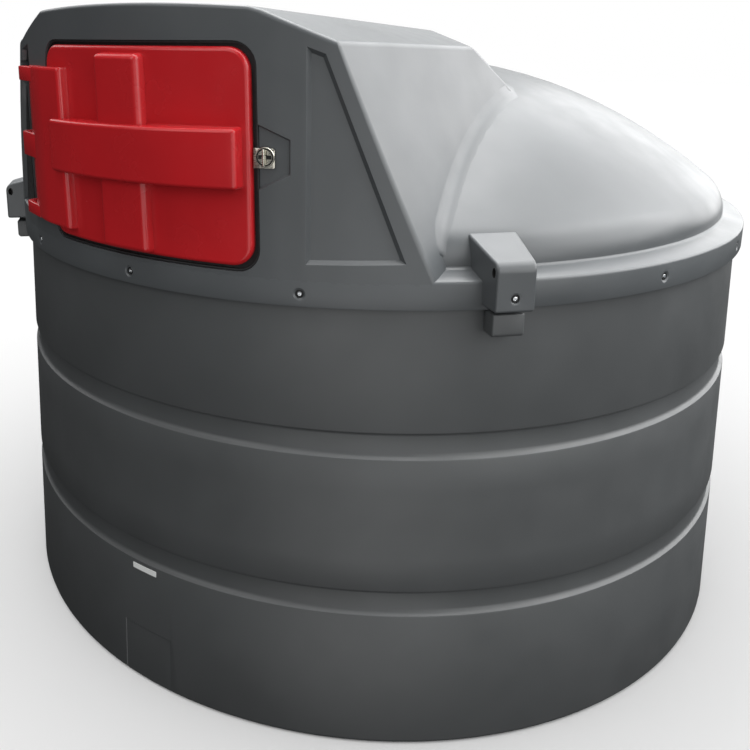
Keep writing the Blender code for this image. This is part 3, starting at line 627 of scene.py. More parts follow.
def finish_of(kind):
    """The finish of a kind, made the first time that it is asked for."""
    look = settings()
    if kind not in _materials:
        makers = {
            # The body's finish takes painted shade towards its foot
            "body": lambda: moulded("body_plastic", look.body_colour[:], look.body_roughness,
                                    painted_foot_shade=PAINTED_FOOT_SHADE),
            "cover": lambda: moulded("cover_plastic", look.cover_colour[:], look.cover_roughness),
            "door": lambda: moulded("door_plastic", look.door_colour[:], look.door_roughness,
                                    0.00003, 0.0003),
            "nickel": lambda: plated("lock_nickel", look.nickel_colour[:], 0.26),
            "zinc": lambda: plated("bolt_zinc", (0.72, 0.74, 0.76), 0.22),
            "rubber": lambda: rubber("seal_rubber", (0.012, 0.012, 0.013)),
            "label": lambda: moulded("label_film", (0.62, 0.63, 0.62), 0.45, 0.00002, 0.0),
            # Near-black finish for painted shade in holes, slots, grooves and the hinge pocket; the bolts'
            # washers take it too
            "shadow": lambda: rubber("painted_shade_black", (0.006, 0.006, 0.006)),
        }
        _materials[kind] = makers[kind]()
    return _materials[kind]


class TankSettings(bpy.types.PropertyGroup):
    """Sizes and colours of the tank's skin."""

    body_colour: bpy.props.FloatVectorProperty(
        name="Body colour", description="Shade of the outer tank", subtype="COLOR",
        default=(0.066, 0.070, 0.072), min=0.0, max=1.0)
    cover_colour: bpy.props.FloatVectorProperty(
        name="Cover colour", description="Shade of the cover", subtype="COLOR",
        default=(0.072, 0.078, 0.082), min=0.0, max=1.0)
    door_colour: bpy.props.FloatVectorProperty(
        name="Door colour", description="Shade of the door", subtype="COLOR",
        default=(0.440, 0.013, 0.017), min=0.0, max=1.0)
    nickel_colour: bpy.props.FloatVectorProperty(
        name="Lock colour", description="Shade of the lock's plating", subtype="COLOR",
        default=(0.66, 0.64, 0.56), min=0.0, max=1.0)
    body_roughness: bpy.props.FloatProperty(
        name="Body roughness", description="Dullness of the outer tank", default=0.42, min=0.1, max=1.0)
    cover_roughness: bpy.props.FloatProperty(
        name="Cover roughness", description="Dullness of the cover", default=0.36, min=0.1, max=1.0)
    door_roughness: bpy.props.FloatProperty(
        name="Door roughness", description="Dullness of the door", default=0.24, min=0.1, max=1.0)
    cabinet_edge: bpy.props.FloatProperty(
        name="Cabinet edge", description="Radius of the cabinet's outer edges", unit="LENGTH",
        default=0.011, min=0.002, max=0.03)
    recess_depth: bpy.props.FloatProperty(
        name="Recess depth", description="Depth of the panels beside the door", unit="LENGTH",
        default=0.010, min=0.002, max=0.015)
    crease_width: bpy.props.FloatProperty(
        name="Crease width", description="Width of the soft fillet round the cabinet's foot",
        unit="LENGTH", default=0.030, min=0.005, max=0.08)
    bolt_cup: bpy.props.FloatProperty(
        name="Bolt cup", description="Radius of the round recess of each bolt", unit="LENGTH",
        default=0.0150, min=0.011, max=0.03)


class TANK_OT_body(bpy.types.Operator):
    """Outer tank: slightly tapering wall with two grooves and a round foot edge"""

    bl_idname = "tank.body"
    bl_label = "Body"

    def execute(self, context):
        profile = [(BODY_FOOT_RADIUS - FOOT_ROUND - 0.0010, FOOT_LIFT)]
        for turn in (30, 60, 90):
            profile.append((BODY_FOOT_RADIUS - FOOT_ROUND - 0.0005 + FOOT_ROUND * sin(radians(turn)),
                            FOOT_LIFT + FOOT_ROUND * (1 - cos(radians(turn)))))
        for top in GROOVE_TOPS:
            for edge, steps in ((top - GROOVE_HEIGHT, GROOVE_FOOT_STEPS), (top, GROOVE_TOP_STEPS)):
                profile += [(body_radius(edge + rise) - depth, edge + rise) for rise, depth in steps]
            if top == GROOVE_TOPS[0]:
                for share in (0.25, 0.5, 0.75):
                    height = top + share * (GROOVE_TOPS[1] - GROOVE_HEIGHT - top)
                    profile.append((body_radius(height), height))
        profile += [(BODY_TOP_RADIUS, RIM_FOOT), (BODY_TOP_RADIUS, BODY_HEIGHT),
                    (BODY_TOP_RADIUS - 0.019, BODY_HEIGHT), (BODY_FOOT_RADIUS - BODY_WALL, FLOOR_TOP),
                    (0.3, FLOOR_TOP), (POLE, FLOOR_TOP)]
        body = turn_profile("body", profile, TURNED_SIDES)
        floor = [(arc(a), RIM_RADIUS - body_radius(z) + 0.0018, z) for a, z in inset(FOOT_PANEL, 0.004)]
        rings = [flat(inset(FOOT_PANEL, -0.060), 0.05), floor]
        cutter = bend_round(loft("foot_panel_cutter", rings))
        join_or_cut(body, cutter, "DIFFERENCE")
        done(body, "body_skin", "body", ["body_floor"] + [f"body_wall_{i + 1}" for i in range(8)])
        for i, azimuth in enumerate(LUG_AZIMUTHS):
            width, face, low, high = BODY_LUG
            back = BODY_TOP_RADIUS + 0.001
            side = [(back, low), (face - 0.006, low), (face, low + 0.006), (face, high), (back, high)]
            rings = [[(x, -r, z) for r, z in side] for x in (-width / 2, width / 2)]
            block = round_edges(loft("body_lug", rings), 0.004)
            turn_to(block, azimuth)
            done(block, f"body_lug_block_{i + 1}", "body", [f"body_lug_{i + 1}"])
        return {"FINISHED"}


def dome_profile():
    """Closed section of rim, ledge and dome, from the rim's lower edge up to the pole and back inside."""
    outer = RIM_RADIUS
    profile = [(outer - SHELL, RIM_FOOT), (outer - 0.003, RIM_FOOT), (outer - 0.0008, RIM_FOOT + 0.0008),
               (outer, RIM_FOOT + 0.003), (outer, RIM_FOOT + 0.030), (outer, 1.1905),
               (outer - 0.0007, 1.1936), (outer - 0.0026, 1.1962), (outer - 0.0055, 1.1977),
               (1.1300, 1.2028), (1.1120, 1.2076), (1.1065, 1.2092), (1.1030, 1.2104), (1.1004, 1.2124),
               (1.0988, 1.2148)]
    for i in range(12):
        profile.append(shoulder(90.0 + (SHOULDER_TURN - 90.0) * i / 12))
    for share in (1.0, 0.985, 0.965, 0.94, 0.91, 0.875, 0.84, 0.79, 0.74, 0.68, 0.62, 0.55, 0.47, 0.39,
                  0.31, 0.23, 0.15, 0.07, POLE):
        profile.append((SHOULDER_START * share, dome_height(SHOULDER_START * share)))
    for share in (POLE, 0.15, 0.31, 0.47, 0.62, 0.74, 0.84, 0.91, 0.965):
        profile.append((SHOULDER_START * share, dome_height(SHOULDER_START * share) - SHELL))
    profile += [(1.0600, 1.2800), (1.0800, 1.2500), (1.0880, 1.2150), (1.0930, 1.2000),
                (outer - SHELL, 1.1880)]
    return profile


def cabinet_rings(shrink, foot):
    """Cross-sections of the cabinet: ahead of its front, at the roof's rear edge and deep in the dome."""
    columns = [RIM_RADIUS * sin(radians(azimuth)) for azimuth in FRONT_COLUMNS if azimuth < RIDGE_AZIMUTH]
    crown = [-RIDGE_X] + [-x for x in reversed(columns[1:])] + columns + [RIDGE_X]

    def section(roof_y):
        """Eave, ridge, crown, ridge and eave, from left to right."""
        top = [Vector((x, roof_y(x), roof_height(x, roof_y(x)))) for x in crown]
        eave_y = roof_y(ROOF_HALF_WIDTH)
        eave = CABINET_EAVE - EAVE_FALL * (eave_y + RIM_RADIUS)
        return [Vector((-side_wall_x(eave), eave_y, eave)), *top, Vector((side_wall_x(eave), eave_y, eave))]

    head, rear = section(lambda x: CABINET_HEAD), section(roof_rear)
    deep = []
    for point in rear:
        x = point.x * CORNER_HALF_WIDTH / ROOF_HALF_WIDTH
        low = Vector((x, slope_foot(x), dome_height(hypot(x, slope_foot(x)))))
        deep.append(low + (low - point) * SLOPE_OVERRUN)
    rings = []
    for points in (head, rear, deep):
        for point in points:
            point.z -= shrink
            if points is not head:
                point.y -= shrink / 2
        for corner, side in ((points[0], -1), (points[-1], 1)):
            corner.x = (side_wall_x(corner.z) - shrink * SIDE_LEAN) * side
        edge = side_wall_x(foot) - shrink * SIDE_LEAN
        rings.append([Vector((-edge, points[0].y, foot)), *points, Vector((edge, points[0].y, foot))])
    return rings


def front_drum(radius, foot):
    """A closed drum whose upright edges stand at the cabinet front's own columns."""
    azimuths = FRONT_STRIPS + [44.0 + 4.0 * i for i in range(69)]
    rings = [[on_wall(radius, azimuth, height) for azimuth in azimuths] for height in (foot, DRUM_TOP)]
    return loft("front_drum", rings)


def cabinet_solid(name, shrink, foot, radius):
    """The cabinet as one block whose front lies on the drum."""
    block = loft(name, cabinet_rings(shrink, foot))
    join_or_cut(block, front_drum(radius, foot - 0.05), "INTERSECT")
    edit_all(block)
    bpy.ops.mesh.remove_doubles(threshold=0.0008)
    bpy.ops.mesh.dissolve_limited(angle_limit=radians(0.2))
    bpy.ops.object.mode_set(mode="OBJECT")
    return block


def trim_below(piece, height):
    """Cut off what lies below a height and close the cut."""
    edit_all(piece)
    bpy.ops.mesh.bisect(plane_co=(0, 0, height), plane_no=(0, 0, 1), clear_inner=True, use_fill=True)
    bpy.ops.object.mode_set(mode="OBJECT")


def bolt_cup(radius, azimuth, height):
    """Cutter for a bolt's cup: a chamfered mouth round a narrower well."""
    mouth = settings().bolt_cup
    profile = [(POLE, -CUP_DEPTH), (CUP_WELL, -CUP_DEPTH), (CUP_WELL, -0.0026), (mouth, 0.0002),
               (mouth + 0.003, 0.006), (POLE, 0.006)]
    cup = turn_profile("bolt_cup", profile, 28)
    cup.data.transform(Matrix.Translation((0, -radius, height)) @ Matrix.Rotation(pi / 2, 4, "X"))
    return turn_to(cup, azimuth)


def bolt_cutters():
    """The cups of the rim's bolts, joined into one cutter."""
    parts = [bolt_cup(RIM_RADIUS, azimuth, BOLT_HEIGHT) for azimuth in BOLT_AZIMUTHS]
    take(parts[0])
    for part in parts:
        part.select_set(True)
    bpy.ops.object.join()
    return parts[0]


class TANK_OT_cover(bpy.types.Operator):
    """Cover: rim with its ledge and the low dome, open under the cabinet"""

    bl_idname = "tank.cover"
    bl_label = "Cover"

    def execute(self, context):
        cover = turn_profile("cover", dome_profile(), TURNED_SIDES)
        inside = cabinet_solid("cabinet_inside", SHELL * 0.6, RIM_FOOT + 0.02, RIM_RADIUS - 0.014)
        join_or_cut(cover, inside, "DIFFERENCE")
        join_or_cut(cover, bolt_cutters(), "DIFFERENCE")
        done(cover, "cover_skin", "cover",
             ["rim_front", "rim_right", "rim_back_right", "rim_back_left", "rim_left",
              "dome_right", "dome_left", "dome_back_right", "dome_back_left"], 28)
        return {"FINISHED"}


class TANK_OT_cabinet(bpy.types.Operator):
    """Cabinet: leaning sides, chamfered roof, rear slope and a front with a doorway and sunk panels"""

    bl_idname = "tank.cabinet"
    bl_label = "Cabinet"

    def execute(self, context):
        look = settings()
        cabinet = cabinet_solid("cabinet", 0.0, RIM_FOOT - 0.03, RIM_RADIUS)
        round_edges(cabinet, look.cabinet_edge, 4, 11.0)
        trim_below(cabinet, CABINET_BASE)
        depth = look.recess_depth
        for outline, sink, lean in ((SIDE_RECESS, depth, 0.9), (HINGE_RECESS, HINGE_RECESS_DEPTH, 0.4),
                                    (LATCH_RECESS, depth * 0.8, 0.6)):
            rings = [flat(inset(outline, -0.020 * lean), 0.020), flat(inset(outline, sink * lean), -sink)]
            join_or_cut(cabinet, bend_round(loft("recess_cutter", rings), FRONT_STRIPS), "DIFFERENCE")
        for outline in (round_corners(DOORWAY, DOORWAY_CORNER), plain_box(HINGE_SLOT)):
            opening = plate("opening_cutter", outline, CUTTER_OUT, CUTTER_IN)
            join_or_cut(cabinet, bend_round(opening, FRONT_STRIPS), "DIFFERENCE")
        edit_all(cabinet)
        bpy.ops.mesh.remove_doubles(threshold=0.0012)
        bpy.ops.mesh.dissolve_limited(angle_limit=radians(0.3))
        bpy.ops.object.mode_set(mode="OBJECT")
        round_edges(cabinet, 0.0026, 2, 32.0)
        inside = cabinet_solid("cabinet_inside", SHELL, RIM_FOOT - 0.06, RIM_RADIUS - FRONT_WALL)
        join_or_cut(cabinet, inside, "DIFFERENCE")
        done(cabinet, "cabinet_skin", "cover",
             ["jamb_right", "jamb_left", "header", "side_recess_pan_right",
              "side_recess_pan_left", "latch_recess_pan", "side_wall_right", "side_wall_left",
              "roof_top", "roof_chamfer_right", "roof_chamfer_left", "rear_slope"], 28)
        weigh_normals(cabinet)
        return {"FINISHED"}


def crease_stations():
    """Places along the crease round the cabinet's foot: the point, the way up the cabinet, half width."""
    wall_lean = (side_wall_x(1.2) - side_wall_x(1.7)) / 0.5
    up_wall = Vector((-wall_lean, 0.0, 1.0)).normalized()
    side = []
    for i in range(11):
        radius, height = shoulder(CREASE_TURN + (SHOULDER_TURN - CREASE_TURN) * i / 10)
        x = side_wall_x(height)
        width = CREASE_START + (CREASE_REACH - CREASE_START) * (i / 10) ** 0.7
        side.append((Vector((x, -sqrt(radius ** 2 - x ** 2), height)), up_wall, width))
    start = dome_height(SHOULDER_START)
    for i in range(1, 26):
        height = start + (CREASE_CORNER - start) * i / 25
        radius = DOME_RADIUS * ((DOME_TOP - height) / DOME_DROP) ** (1 / DOME_POWER)
        x = side_wall_x(height)
        side.append((Vector((x, -sqrt(radius ** 2 - x ** 2), height)), up_wall, CREASE_REACH))
    rear = []
    for i in range(1, 26):
        x = CORNER_HALF_WIDTH * (1 - i / 25)
        foot = Vector((x, slope_foot(x), dome_height(hypot(x, slope_foot(x)))))
        roof_x = x * ROOF_HALF_WIDTH / CORNER_HALF_WIDTH
        head = Vector((roof_x, roof_rear(roof_x), roof_height(roof_x, roof_rear(roof_x))))
        rear.append((foot, (head - foot).normalized(), CREASE_REACH))
    right = side + rear
    mirror = [(Vector((-p.x, p.y, p.z)), Vector((-up.x, up.y, up.z)), reach) for p, up, reach in right[:-1]]
    return right + mirror[::-1]


def cover_normal(place):
    """Which way the cover's outer surface faces at a place on its dome, shoulder or ledge."""
    radius = hypot(place.x, place.y)
    if radius <= SHOULDER_START:
        slope = DOME_DROP * DOME_POWER / DOME_RADIUS * (radius / DOME_RADIUS) ** (DOME_POWER - 1)
    elif place.z > SHOULDER_CENTRE[1]:
        slope = (radius - SHOULDER_CENTRE[0]) / (place.z - SHOULDER_CENTRE[1])
    else:
        slope = 0.25
    return Vector((place.x / radius * slope, place.y / radius * slope, 1.0)).normalized()


def on_cover(place):
    """The nearest place on the cover's dome or shoulder."""
    radius = hypot(place.x, place.y)
    if radius <= SHOULDER_START:
        return Vector((place.x, place.y, dome_height(radius)))
    if place.z <= SHOULDER_CENTRE[1]:
        return place
    away = Vector((radius - SHOULDER_CENTRE[0], place.z - SHOULDER_CENTRE[1])).normalized() * SHOULDER_RADIUS
    scale = (SHOULDER_CENTRE[0] + away.x) / radius
    return Vector((place.x * scale, place.y * scale, SHOULDER_CENTRE[1] + away.y))


class TANK_OT_crease(bpy.types.Operator):
    """Soft moulded fillet where the cabinet runs into the cover"""

    bl_idname = "tank.crease"
    bl_label = "Crease"

    def execute(self, context):
        stations = crease_stations()
        share = settings().crease_width / 0.030
        rings = []
        for i, (place, up, reach) in enumerate(stations):
            before, after = stations[max(0, i - 1)][0], stations[min(len(stations) - 1, i + 1)][0]
            along = (after - before).normalized()
            rise = (up - along * up.dot(along)).normalized()
            normal = cover_normal(place)
            wall_normal = rise.cross(along).normalized()
            if wall_normal.dot(place - CABINET_MIDDLE) < 0:
                wall_normal = -wall_normal
            aside = along.cross(normal).normalized()
            if aside.dot(wall_normal) < 0:
                aside = -aside
            reach *= share
            low, high = on_cover(place + aside * reach), place + rise * reach
            ring = [low - normal * 0.0004]
            for step in range(1, 7):
                part = step / 7
                ring.append(low * (1 - part) ** 2 + place * 2 * part * (1 - part) + high * part ** 2)
            ring.append(high - wall_normal * 0.0004)
            ring.append(place - normal * 0.004 - wall_normal * 0.004)
            rings.append(ring)
        done(loft("crease", rings), "crease_fillet", "cover", angle=60)
        return {"FINISHED"}


class TANK_OT_recess_shade(bpy.types.Operator):
    """Near-black sheet over the floor of the sunk panel behind the hinge: painted shade, as dark as a deep
    pocket
    """

    bl_idname = "tank.recess_lining"
    bl_label = "Recess painted shade"

    def execute(self, context):
        outline = inset(HINGE_RECESS, HINGE_RECESS_DEPTH * 0.4 + 0.0008)
        lining = plate("lining", outline, -HINGE_RECESS_DEPTH - 0.0010, -HINGE_RECESS_DEPTH + 0.0010)
        slot = plate("slot_cutter", plain_box(HINGE_SLOT), CUTTER_OUT, CUTTER_IN)
        join_or_cut(lining, slot, "DIFFERENCE")
        # Painted shade: the sheet takes the near-black shadow finish
        done(bend_round(lining), "hinge_recess_painted_shade", "shadow")
        return {"FINISHED"}


class TANK_OT_lugs(bpy.types.Operator):
    """Lifting lugs of the cover, each with a bolt in its face and a hole in its side"""

    bl_idname = "tank.lugs"
    bl_label = "Lugs"

    def execute(self, context):
        bend = []
        for turn in range(0, 84, 9):
            bend.append((LUG_FACE - LUG_BEND * (1 - cos(radians(turn))),
                         LUG_OUTER_TOP - LUG_BEND * (1 - sin(radians(turn)))))
        inner = DOME_RADIUS * ((DOME_TOP - LUG_INNER_TOP) / DOME_DROP) ** (1 / DOME_POWER)
        side = [(1.1500, LUG_FOOT), (LUG_FACE, LUG_FOOT)] + bend
        side += [(inner - 0.004, LUG_INNER_TOP), (1.0800, 1.2500), (1.0850, 1.2050), (1.1500, 1.1900)]
        rings = [[(half * (LUG_WIDTH + LUG_FLARE * (LUG_FACE - r)), -r, z) for r, z in side]
                 for half in (-0.5, 0.5)]
        lug = round_edges(loft("cover_lug", rings), 0.0065, 3, 25.0)
        join_or_cut(lug, bolt_cup(LUG_FACE, 0.0, LUG_BOLT_HEIGHT), "DIFFERENCE")
        hole = cylinder(LUG_HOLE_R, 0.14, rotation=(0, pi / 2, 0), location=LUG_HOLE, scale=(1.0, 0.65, 1.0))
        join_or_cut(lug, hole, "DIFFERENCE")
        for i, azimuth in enumerate(LUG_AZIMUTHS):
            copy = turn_to(copy_of(lug), azimuth)
            done(copy, f"lifting_lug_{i + 1}", "cover", [f"cover_lug_{i + 1}"])
            # Painted shade: the faces inside each lug's side hole take the near-black shadow finish
            across, middle = on_wall(1.0, azimuth + 90, 0.0), on_wall(-LUG_HOLE[1], azimuth, LUG_HOLE[2])
            darken(copy, [face for face in copy.data.polygons if abs(face.normal.dot(across)) < 0.5
                          and off_axis(face, middle, across) < LUG_HOLE_R + 0.0001])
            weigh_normals(copy)
        bpy.data.objects.remove(lug, do_unlink=True)
        return {"FINISHED"}


class TANK_OT_bolts(bpy.types.Operator):
    """Round-headed socket bolts and washers in the rim's and the lugs' cups"""

    bl_idname = "tank.bolts"
    bl_label = "Bolts"

    def execute(self, context):
        washer = CUP_WELL - 0.0004
        profile = [(POLE, -0.003), (washer, -0.003), (washer, 0.0005), (washer - 0.0006, 0.0010),
                   (0.0060, 0.0010), (0.0058, 0.0026), (0.0049, 0.0039), (0.0030, 0.0046),
                   (0.0022, 0.0044), (0.0020, 0.0022), (POLE, 0.0022)]
        bolt = turn_profile("bolt", profile, 24)
        bolt.data.transform(Matrix.Rotation(pi / 2, 4, "X"))
        places = [(azimuth, BOLT_HEIGHT, RIM_RADIUS - CUP_DEPTH) for azimuth in BOLT_AZIMUTHS]
        places += [(azimuth, LUG_BOLT_HEIGHT, LUG_FACE - CUP_DEPTH) for azimuth in LUG_AZIMUTHS]
        for i, (azimuth, height, radius) in enumerate(places):
            copy = copy_of(bolt)
            copy.data.transform(Matrix.Translation((0, -radius, height)))
            turn_to(copy, azimuth)
            done(copy, f"rim_bolt_{i + 1}", "zinc", angle=35)
            middle, out = on_wall(radius, azimuth, height), on_wall(1.0, azimuth, 0.0)
            darken(copy, [face for face in copy.data.polygons if off_axis(face, middle, out) > 0.0060])
        bpy.data.objects.remove(bolt, do_unlink=True)
        return {"FINISHED"}


class TANK_OT_seal(bpy.types.Operator):
    """Black rubber seal round the doorway"""

    bl_idname = "tank.seal"
    bl_label = "Seal"

    def execute(self, context):
        outline = round_corners(DOORWAY, DOORWAY_CORNER)
        seal = plate("seal", inset(outline, 0.0003), -0.0045, -0.0400)
        for margin, depth in ((0.0055, -0.0130), (0.0300, CUTTER_IN)):
            join_or_cut(seal, plate("seal_hole", inset(outline, margin), CUTTER_OUT, depth), "DIFFERENCE")
        round_edges(seal, 0.0015, 2, 40.0)
        done(bend_round(seal), "doorway_seal", "rubber", angle=35)
        return {"FINISHED"}


def rib(name, outline, base, face, draft=0.003, edge=0.0085):
    """A raised rib: a flat block with leaning sides and round outer edges, bent round the axis."""
    piece = loft(name, [flat(outline, base - RIM_RADIUS), flat(inset(outline, draft), face - RIM_RADIUS)])
    top = RIM_RADIUS - face
    edit_edges(piece, lambda a, b: min(a.y, b.y) < top + 0.001)
    bpy.ops.mesh.bevel(offset=edge, segments=4, affect="EDGES", clamp_overlap=True)
    bpy.ops.object.mode_set(mode="OBJECT")
    return bend_round(piece)


def hinge_rib():
    """The rib beside the hinge: a long round flank towards the pin, and a round right edge."""
    low, high = HINGE_RIB[0][1], HINGE_RIB[2][1]
    base = DOOR_FACE - 0.0035
    edge = 0.012
    rings = []
    for height, fall in ((low, 0.0050), (low + 0.0012, 0.0022), (low + 0.0045, 0.0005), (low + 0.009, 0.0),
                         (high - 0.009, 0.0), (high - 0.0045, 0.0005), (high - 0.0012, 0.0022),
                         (high, 0.0050)):
        share = (height - low) / (high - low)
        right = HINGE_RIB[1][0] + (HINGE_RIB[2][0] - HINGE_RIB[1][0]) * share
        section = [(HINGE_RIB[0][0], base), *HINGE_RIB_FLANK]
        centre = right - degrees((edge + 0.003) / RIM_RADIUS)
        for i in range(8):
            turn = radians(90 - 11.5 * i)
            section.append((centre + degrees(edge * cos(turn) / RIM_RADIUS),
                            RIB_FACE - edge + edge * sin(turn)))
        section.append((right, base))
        rings.append([on_wall(max(base, radius - fall), azimuth, height) for azimuth, radius in section])
    return loft("hinge_rib", rings)


class TANK_OT_door(bpy.types.Operator):
    """Door: round-edged panel with a middle rib, a hinge rib and a cross rib over them"""

    bl_idname = "tank.door"
    bl_label = "Door"

    def execute(self, context):
        lift = DOOR_FACE - RIM_RADIUS
        panel = plate("door_panel_skin", round_corners(DOOR, DOOR_CORNER), DOOR_INNER - RIM_RADIUS, lift)
        edit_edges(panel, lambda a, b: max(a.y, b.y) < 0.001 - lift)
        bpy.ops.mesh.bevel(offset=0.011, segments=5, affect="EDGES")
        bpy.ops.object.mode_set(mode="OBJECT")
        bend_round(panel)
        base = DOOR_FACE - 0.006
        join_or_cut(panel, rib("middle_rib", MIDDLE_RIB, base, RIB_FACE, 0.004, 0.0120), "UNION")
        join_or_cut(panel, hinge_rib(), "UNION")
        cross = rib("cross_rib", CROSS_RIB, base, CROSS_RIB_FACE)
        middle = radians(sum(azimuth for azimuth, height in CROSS_RIB) / 4)
        half = radians(CROSS_RIB[1][0] - CROSS_RIB[0][0]) / 2
        for vert in cross.data.vertices:
            radius = hypot(vert.co.x, vert.co.y)
            share = (atan2(vert.co.x, -vert.co.y) - middle) / half
            radius -= CROSS_RIB_FLATTENING * share ** 2 * max(0.0, radius - base) / (CROSS_RIB_FACE - base)
            vert.co.xy = vert.co.xy.normalized() * radius
        join_or_cut(panel, cross, "UNION")
        done(panel, "door_skin", "door",
             ["door_panel", "door_rib_cross", "door_rib_middle_upper", "door_rib_middle_lower",
              "door_rib_hinge_upper", "door_rib_hinge_middle", "door_rib_hinge_lower"],
             32, "door")
        weigh_normals(panel)
        return {"FINISHED"}


class TANK_OT_hinge(bpy.types.Operator):
    """Hinge: three arms with round knuckles that join the hinge rib to the pin"""

    bl_idname = "tank.hinge"
    bl_label = "Hinge"

    def execute(self, context):
        radius, azimuth = PIN
        pin = on_wall(radius, azimuth, 0)
        across, out = on_wall(1, azimuth + 90, 0), on_wall(1, azimuth, 0)
        inner, outer = DOOR_FACE + 0.0003 - radius, ARM_FACE - radius
        reach = radians(ARM_END - azimuth) * DOOR_FACE
        drop = DOOR_FACE * (1 - cos(radians(ARM_END - azimuth)))
        points = []
        for i in range(17):
            turn = radians(48 - (48 + 180 + 33.5) * i / 16)
            points.append((KNUCKLE_R * cos(turn), KNUCKLE_R * sin(turn)))
        for i in range(7):
            turn = radians(180 - 90 * i / 6)
            points.append((-0.010 + 0.020 * (1 + cos(turn)), outer - 0.020 * (1 - sin(turn))))
        points += [(reach, outer - drop), (reach, inner - drop), (0.014, inner), (0.008, inner - 0.004)]
        plan = [pin + across * t + out * n for t, n in points]
        for label, (foot, top) in zip(("lower", "middle", "upper"), ARM_HEIGHTS):
            rings = [[(p.x, p.y, foot) for p in plan], [(p.x, p.y, top) for p in plan]]
            arm = round_edges(loft("arm", rings), 0.0022, 2, 50.0)
            bore = cylinder(PIN_R + 0.0005, 0.2, location=(pin.x, pin.y, (foot + top) / 2))
            join_or_cut(arm, bore, "DIFFERENCE")
            done(arm, f"arm_{label}", "door", [f"hinge_arm_{label}"], 32, "door")
        return {"FINISHED"}


class TANK_OT_lock(bpy.types.Operator):
    """Lock: plate with round corners, round rose with a slot, and a turning wing"""

    bl_idname = "tank.lock"
    bl_label = "Lock"

    def execute(self, context):
        low, high = HASP_RADII
        outline = round_corners(plain_box(HASP), 0.005, 4)
        hasp = plate("lock_plate", outline, low - RIM_RADIUS, high - RIM_RADIUS)
        bend_round(round_edges(hasp, 0.0006, 2, 40.0))
        edge = plain_box((HASP[0], HASP[0] + 0.16, HASP[2], HASP[3]))
        flange = plate("flange", edge, DOOR_INNER - RIM_RADIUS, high - RIM_RADIUS)
        join_or_cut(hasp, bend_round(flange), "UNION")
        done(hasp, "lock_plate", "nickel", ["hasp_plate"], 35, "door")
        azimuth, height = ROSE
        base = high + 0.0003
        profile = [(POLE, 0.0), (ROSE_R, 0.0), (ROSE_R, 0.0030), (ROSE_R - 0.0008, 0.0040),
                   (ROSE_R - 0.0026, 0.0040), (ROSE_R - 0.0030, 0.0014), (ROSE_R - 0.0052, 0.0014),
                   (ROSE_R - 0.0056, 0.0036), (POLE, 0.0036)]
        rose = turn_profile("rose", profile, 48)
        rose.data.transform(Matrix.Rotation(pi / 2, 4, "X"))
        for x, wide, tall in ((0.0, 0.030, 0.0085), (-0.0042, 0.0016, 0.0290), (0.0042, 0.0016, 0.0290)):
            join_or_cut(rose, brick((x, -0.004, 0), (wide, 0.0048, tall)), "DIFFERENCE")
        # Painted shade: the floors and walls of the rose's ring groove and slot take the near-black shadow
        # finish
        sunk = [i for i, face in enumerate(rose.data.polygons) if -0.0034 < face.center.y < -0.0002
                and hypot(face.center.x, face.center.z) < ROSE_R - 0.0027]
        rose.data.transform(Matrix.Translation((0, -base, height)))
        turn_to(rose, azimuth)
        done(rose, "lock_rose", "nickel", ["latch_rose"], 35, "door")
        darken(rose, [rose.data.polygons[i] for i in sunk])
        foot = base + 0.0043
        wing = round_edges(brick((0, -foot - 0.0052, height), (0.0040, 0.0104, 0.0375)), 0.0016, 3, 40.0)
        knob = cylinder(0.0052, 0.0050, rotation=(pi / 2, 0, 0), location=(0, -foot - 0.0025, height))
        take(join_or_cut(wing, knob, "UNION"))
        bpy.ops.object.transform_apply(location=True, rotation=True, scale=True)
        turn_to(wing, azimuth)
        done(wing, "lock_wing", "nickel", ["latch_wing"], 35, "latch")
        return {"FINISHED"}


class TANK_OT_label(bpy.types.Operator):
    """Blank white sticker on the body"""

    bl_idname = "tank.label"
    bl_label = "Label"

    def execute(self, context):
        face = body_radius(LABEL[2] + 0.007) - RIM_RADIUS
        outline = round_corners(plain_box(LABEL), 0.0015, 3)
        label = bend_round(plate("label", outline, face - 0.001, face + 0.0006))
        done(label, "blank_label", "label", angle=35)
        return {"FINISHED"}


class TANK_OT_inside(bpy.types.Operator):
    """Finishes of the plain pieces that show inside the cabinet"""

    bl_idname = "tank.inside"
    bl_label = "Inside"

    def execute(self, context):
        # The hinge pocket behind the slot takes the near-black shadow finish: painted shade
        for node, kind in (("inner_tank_top", "body"), ("hinge_pocket", "shadow"), ("hinge_pin", "zinc")):
            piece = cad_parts[node]
            piece.data.materials.clear()
            piece.data.materials.append(finish_of(kind))
        return {"FINISHED"}


def soft_light(name, azimuth, rise, width, energy, receivers):
    """A far round light panel, seen at an azimuth and a rise in degrees, that lights one collection."""
    toward = on_wall(cos(radians(rise)), azimuth, sin(radians(rise)))
    let_go()
    bpy.ops.object.light_add(type="SUN", location=toward * 6.0)
    lamp = bpy.context.object
    lamp.name = name
    lamp.data.energy, lamp.data.angle = energy, radians(width)
    lamp.rotation_euler = (-toward).to_track_quat("-Z", "Y").to_euler()
    lamp.light_linking.receiver_collection = receivers


def studio():
    """A white backdrop for the camera, and faint even light for everything else."""
    world = bpy.data.worlds.new("studio")
    bpy.context.scene.world = world
    world.use_nodes = True
    nodes, links = world.node_tree.nodes, world.node_tree.links
    sky = nodes["Background"]
    sky.inputs["Color"].default_value = WHITE
    sky.inputs["Strength"].default_value = SKY_STRENGTH
    backdrop = nodes.new("ShaderNodeBackground")
    backdrop.inputs["Color"].default_value = WHITE
    mix = nodes.new("ShaderNodeMixShader")
    links.new(nodes.new("ShaderNodeLightPath").outputs["Is Camera Ray"], mix.inputs["Fac"])
    links.new(sky.outputs["Background"], mix.inputs[1])
    links.new(backdrop.outputs["Background"], mix.inputs[2])
    links.new(mix.outputs["Shader"], nodes["World Output"].inputs["Surface"])


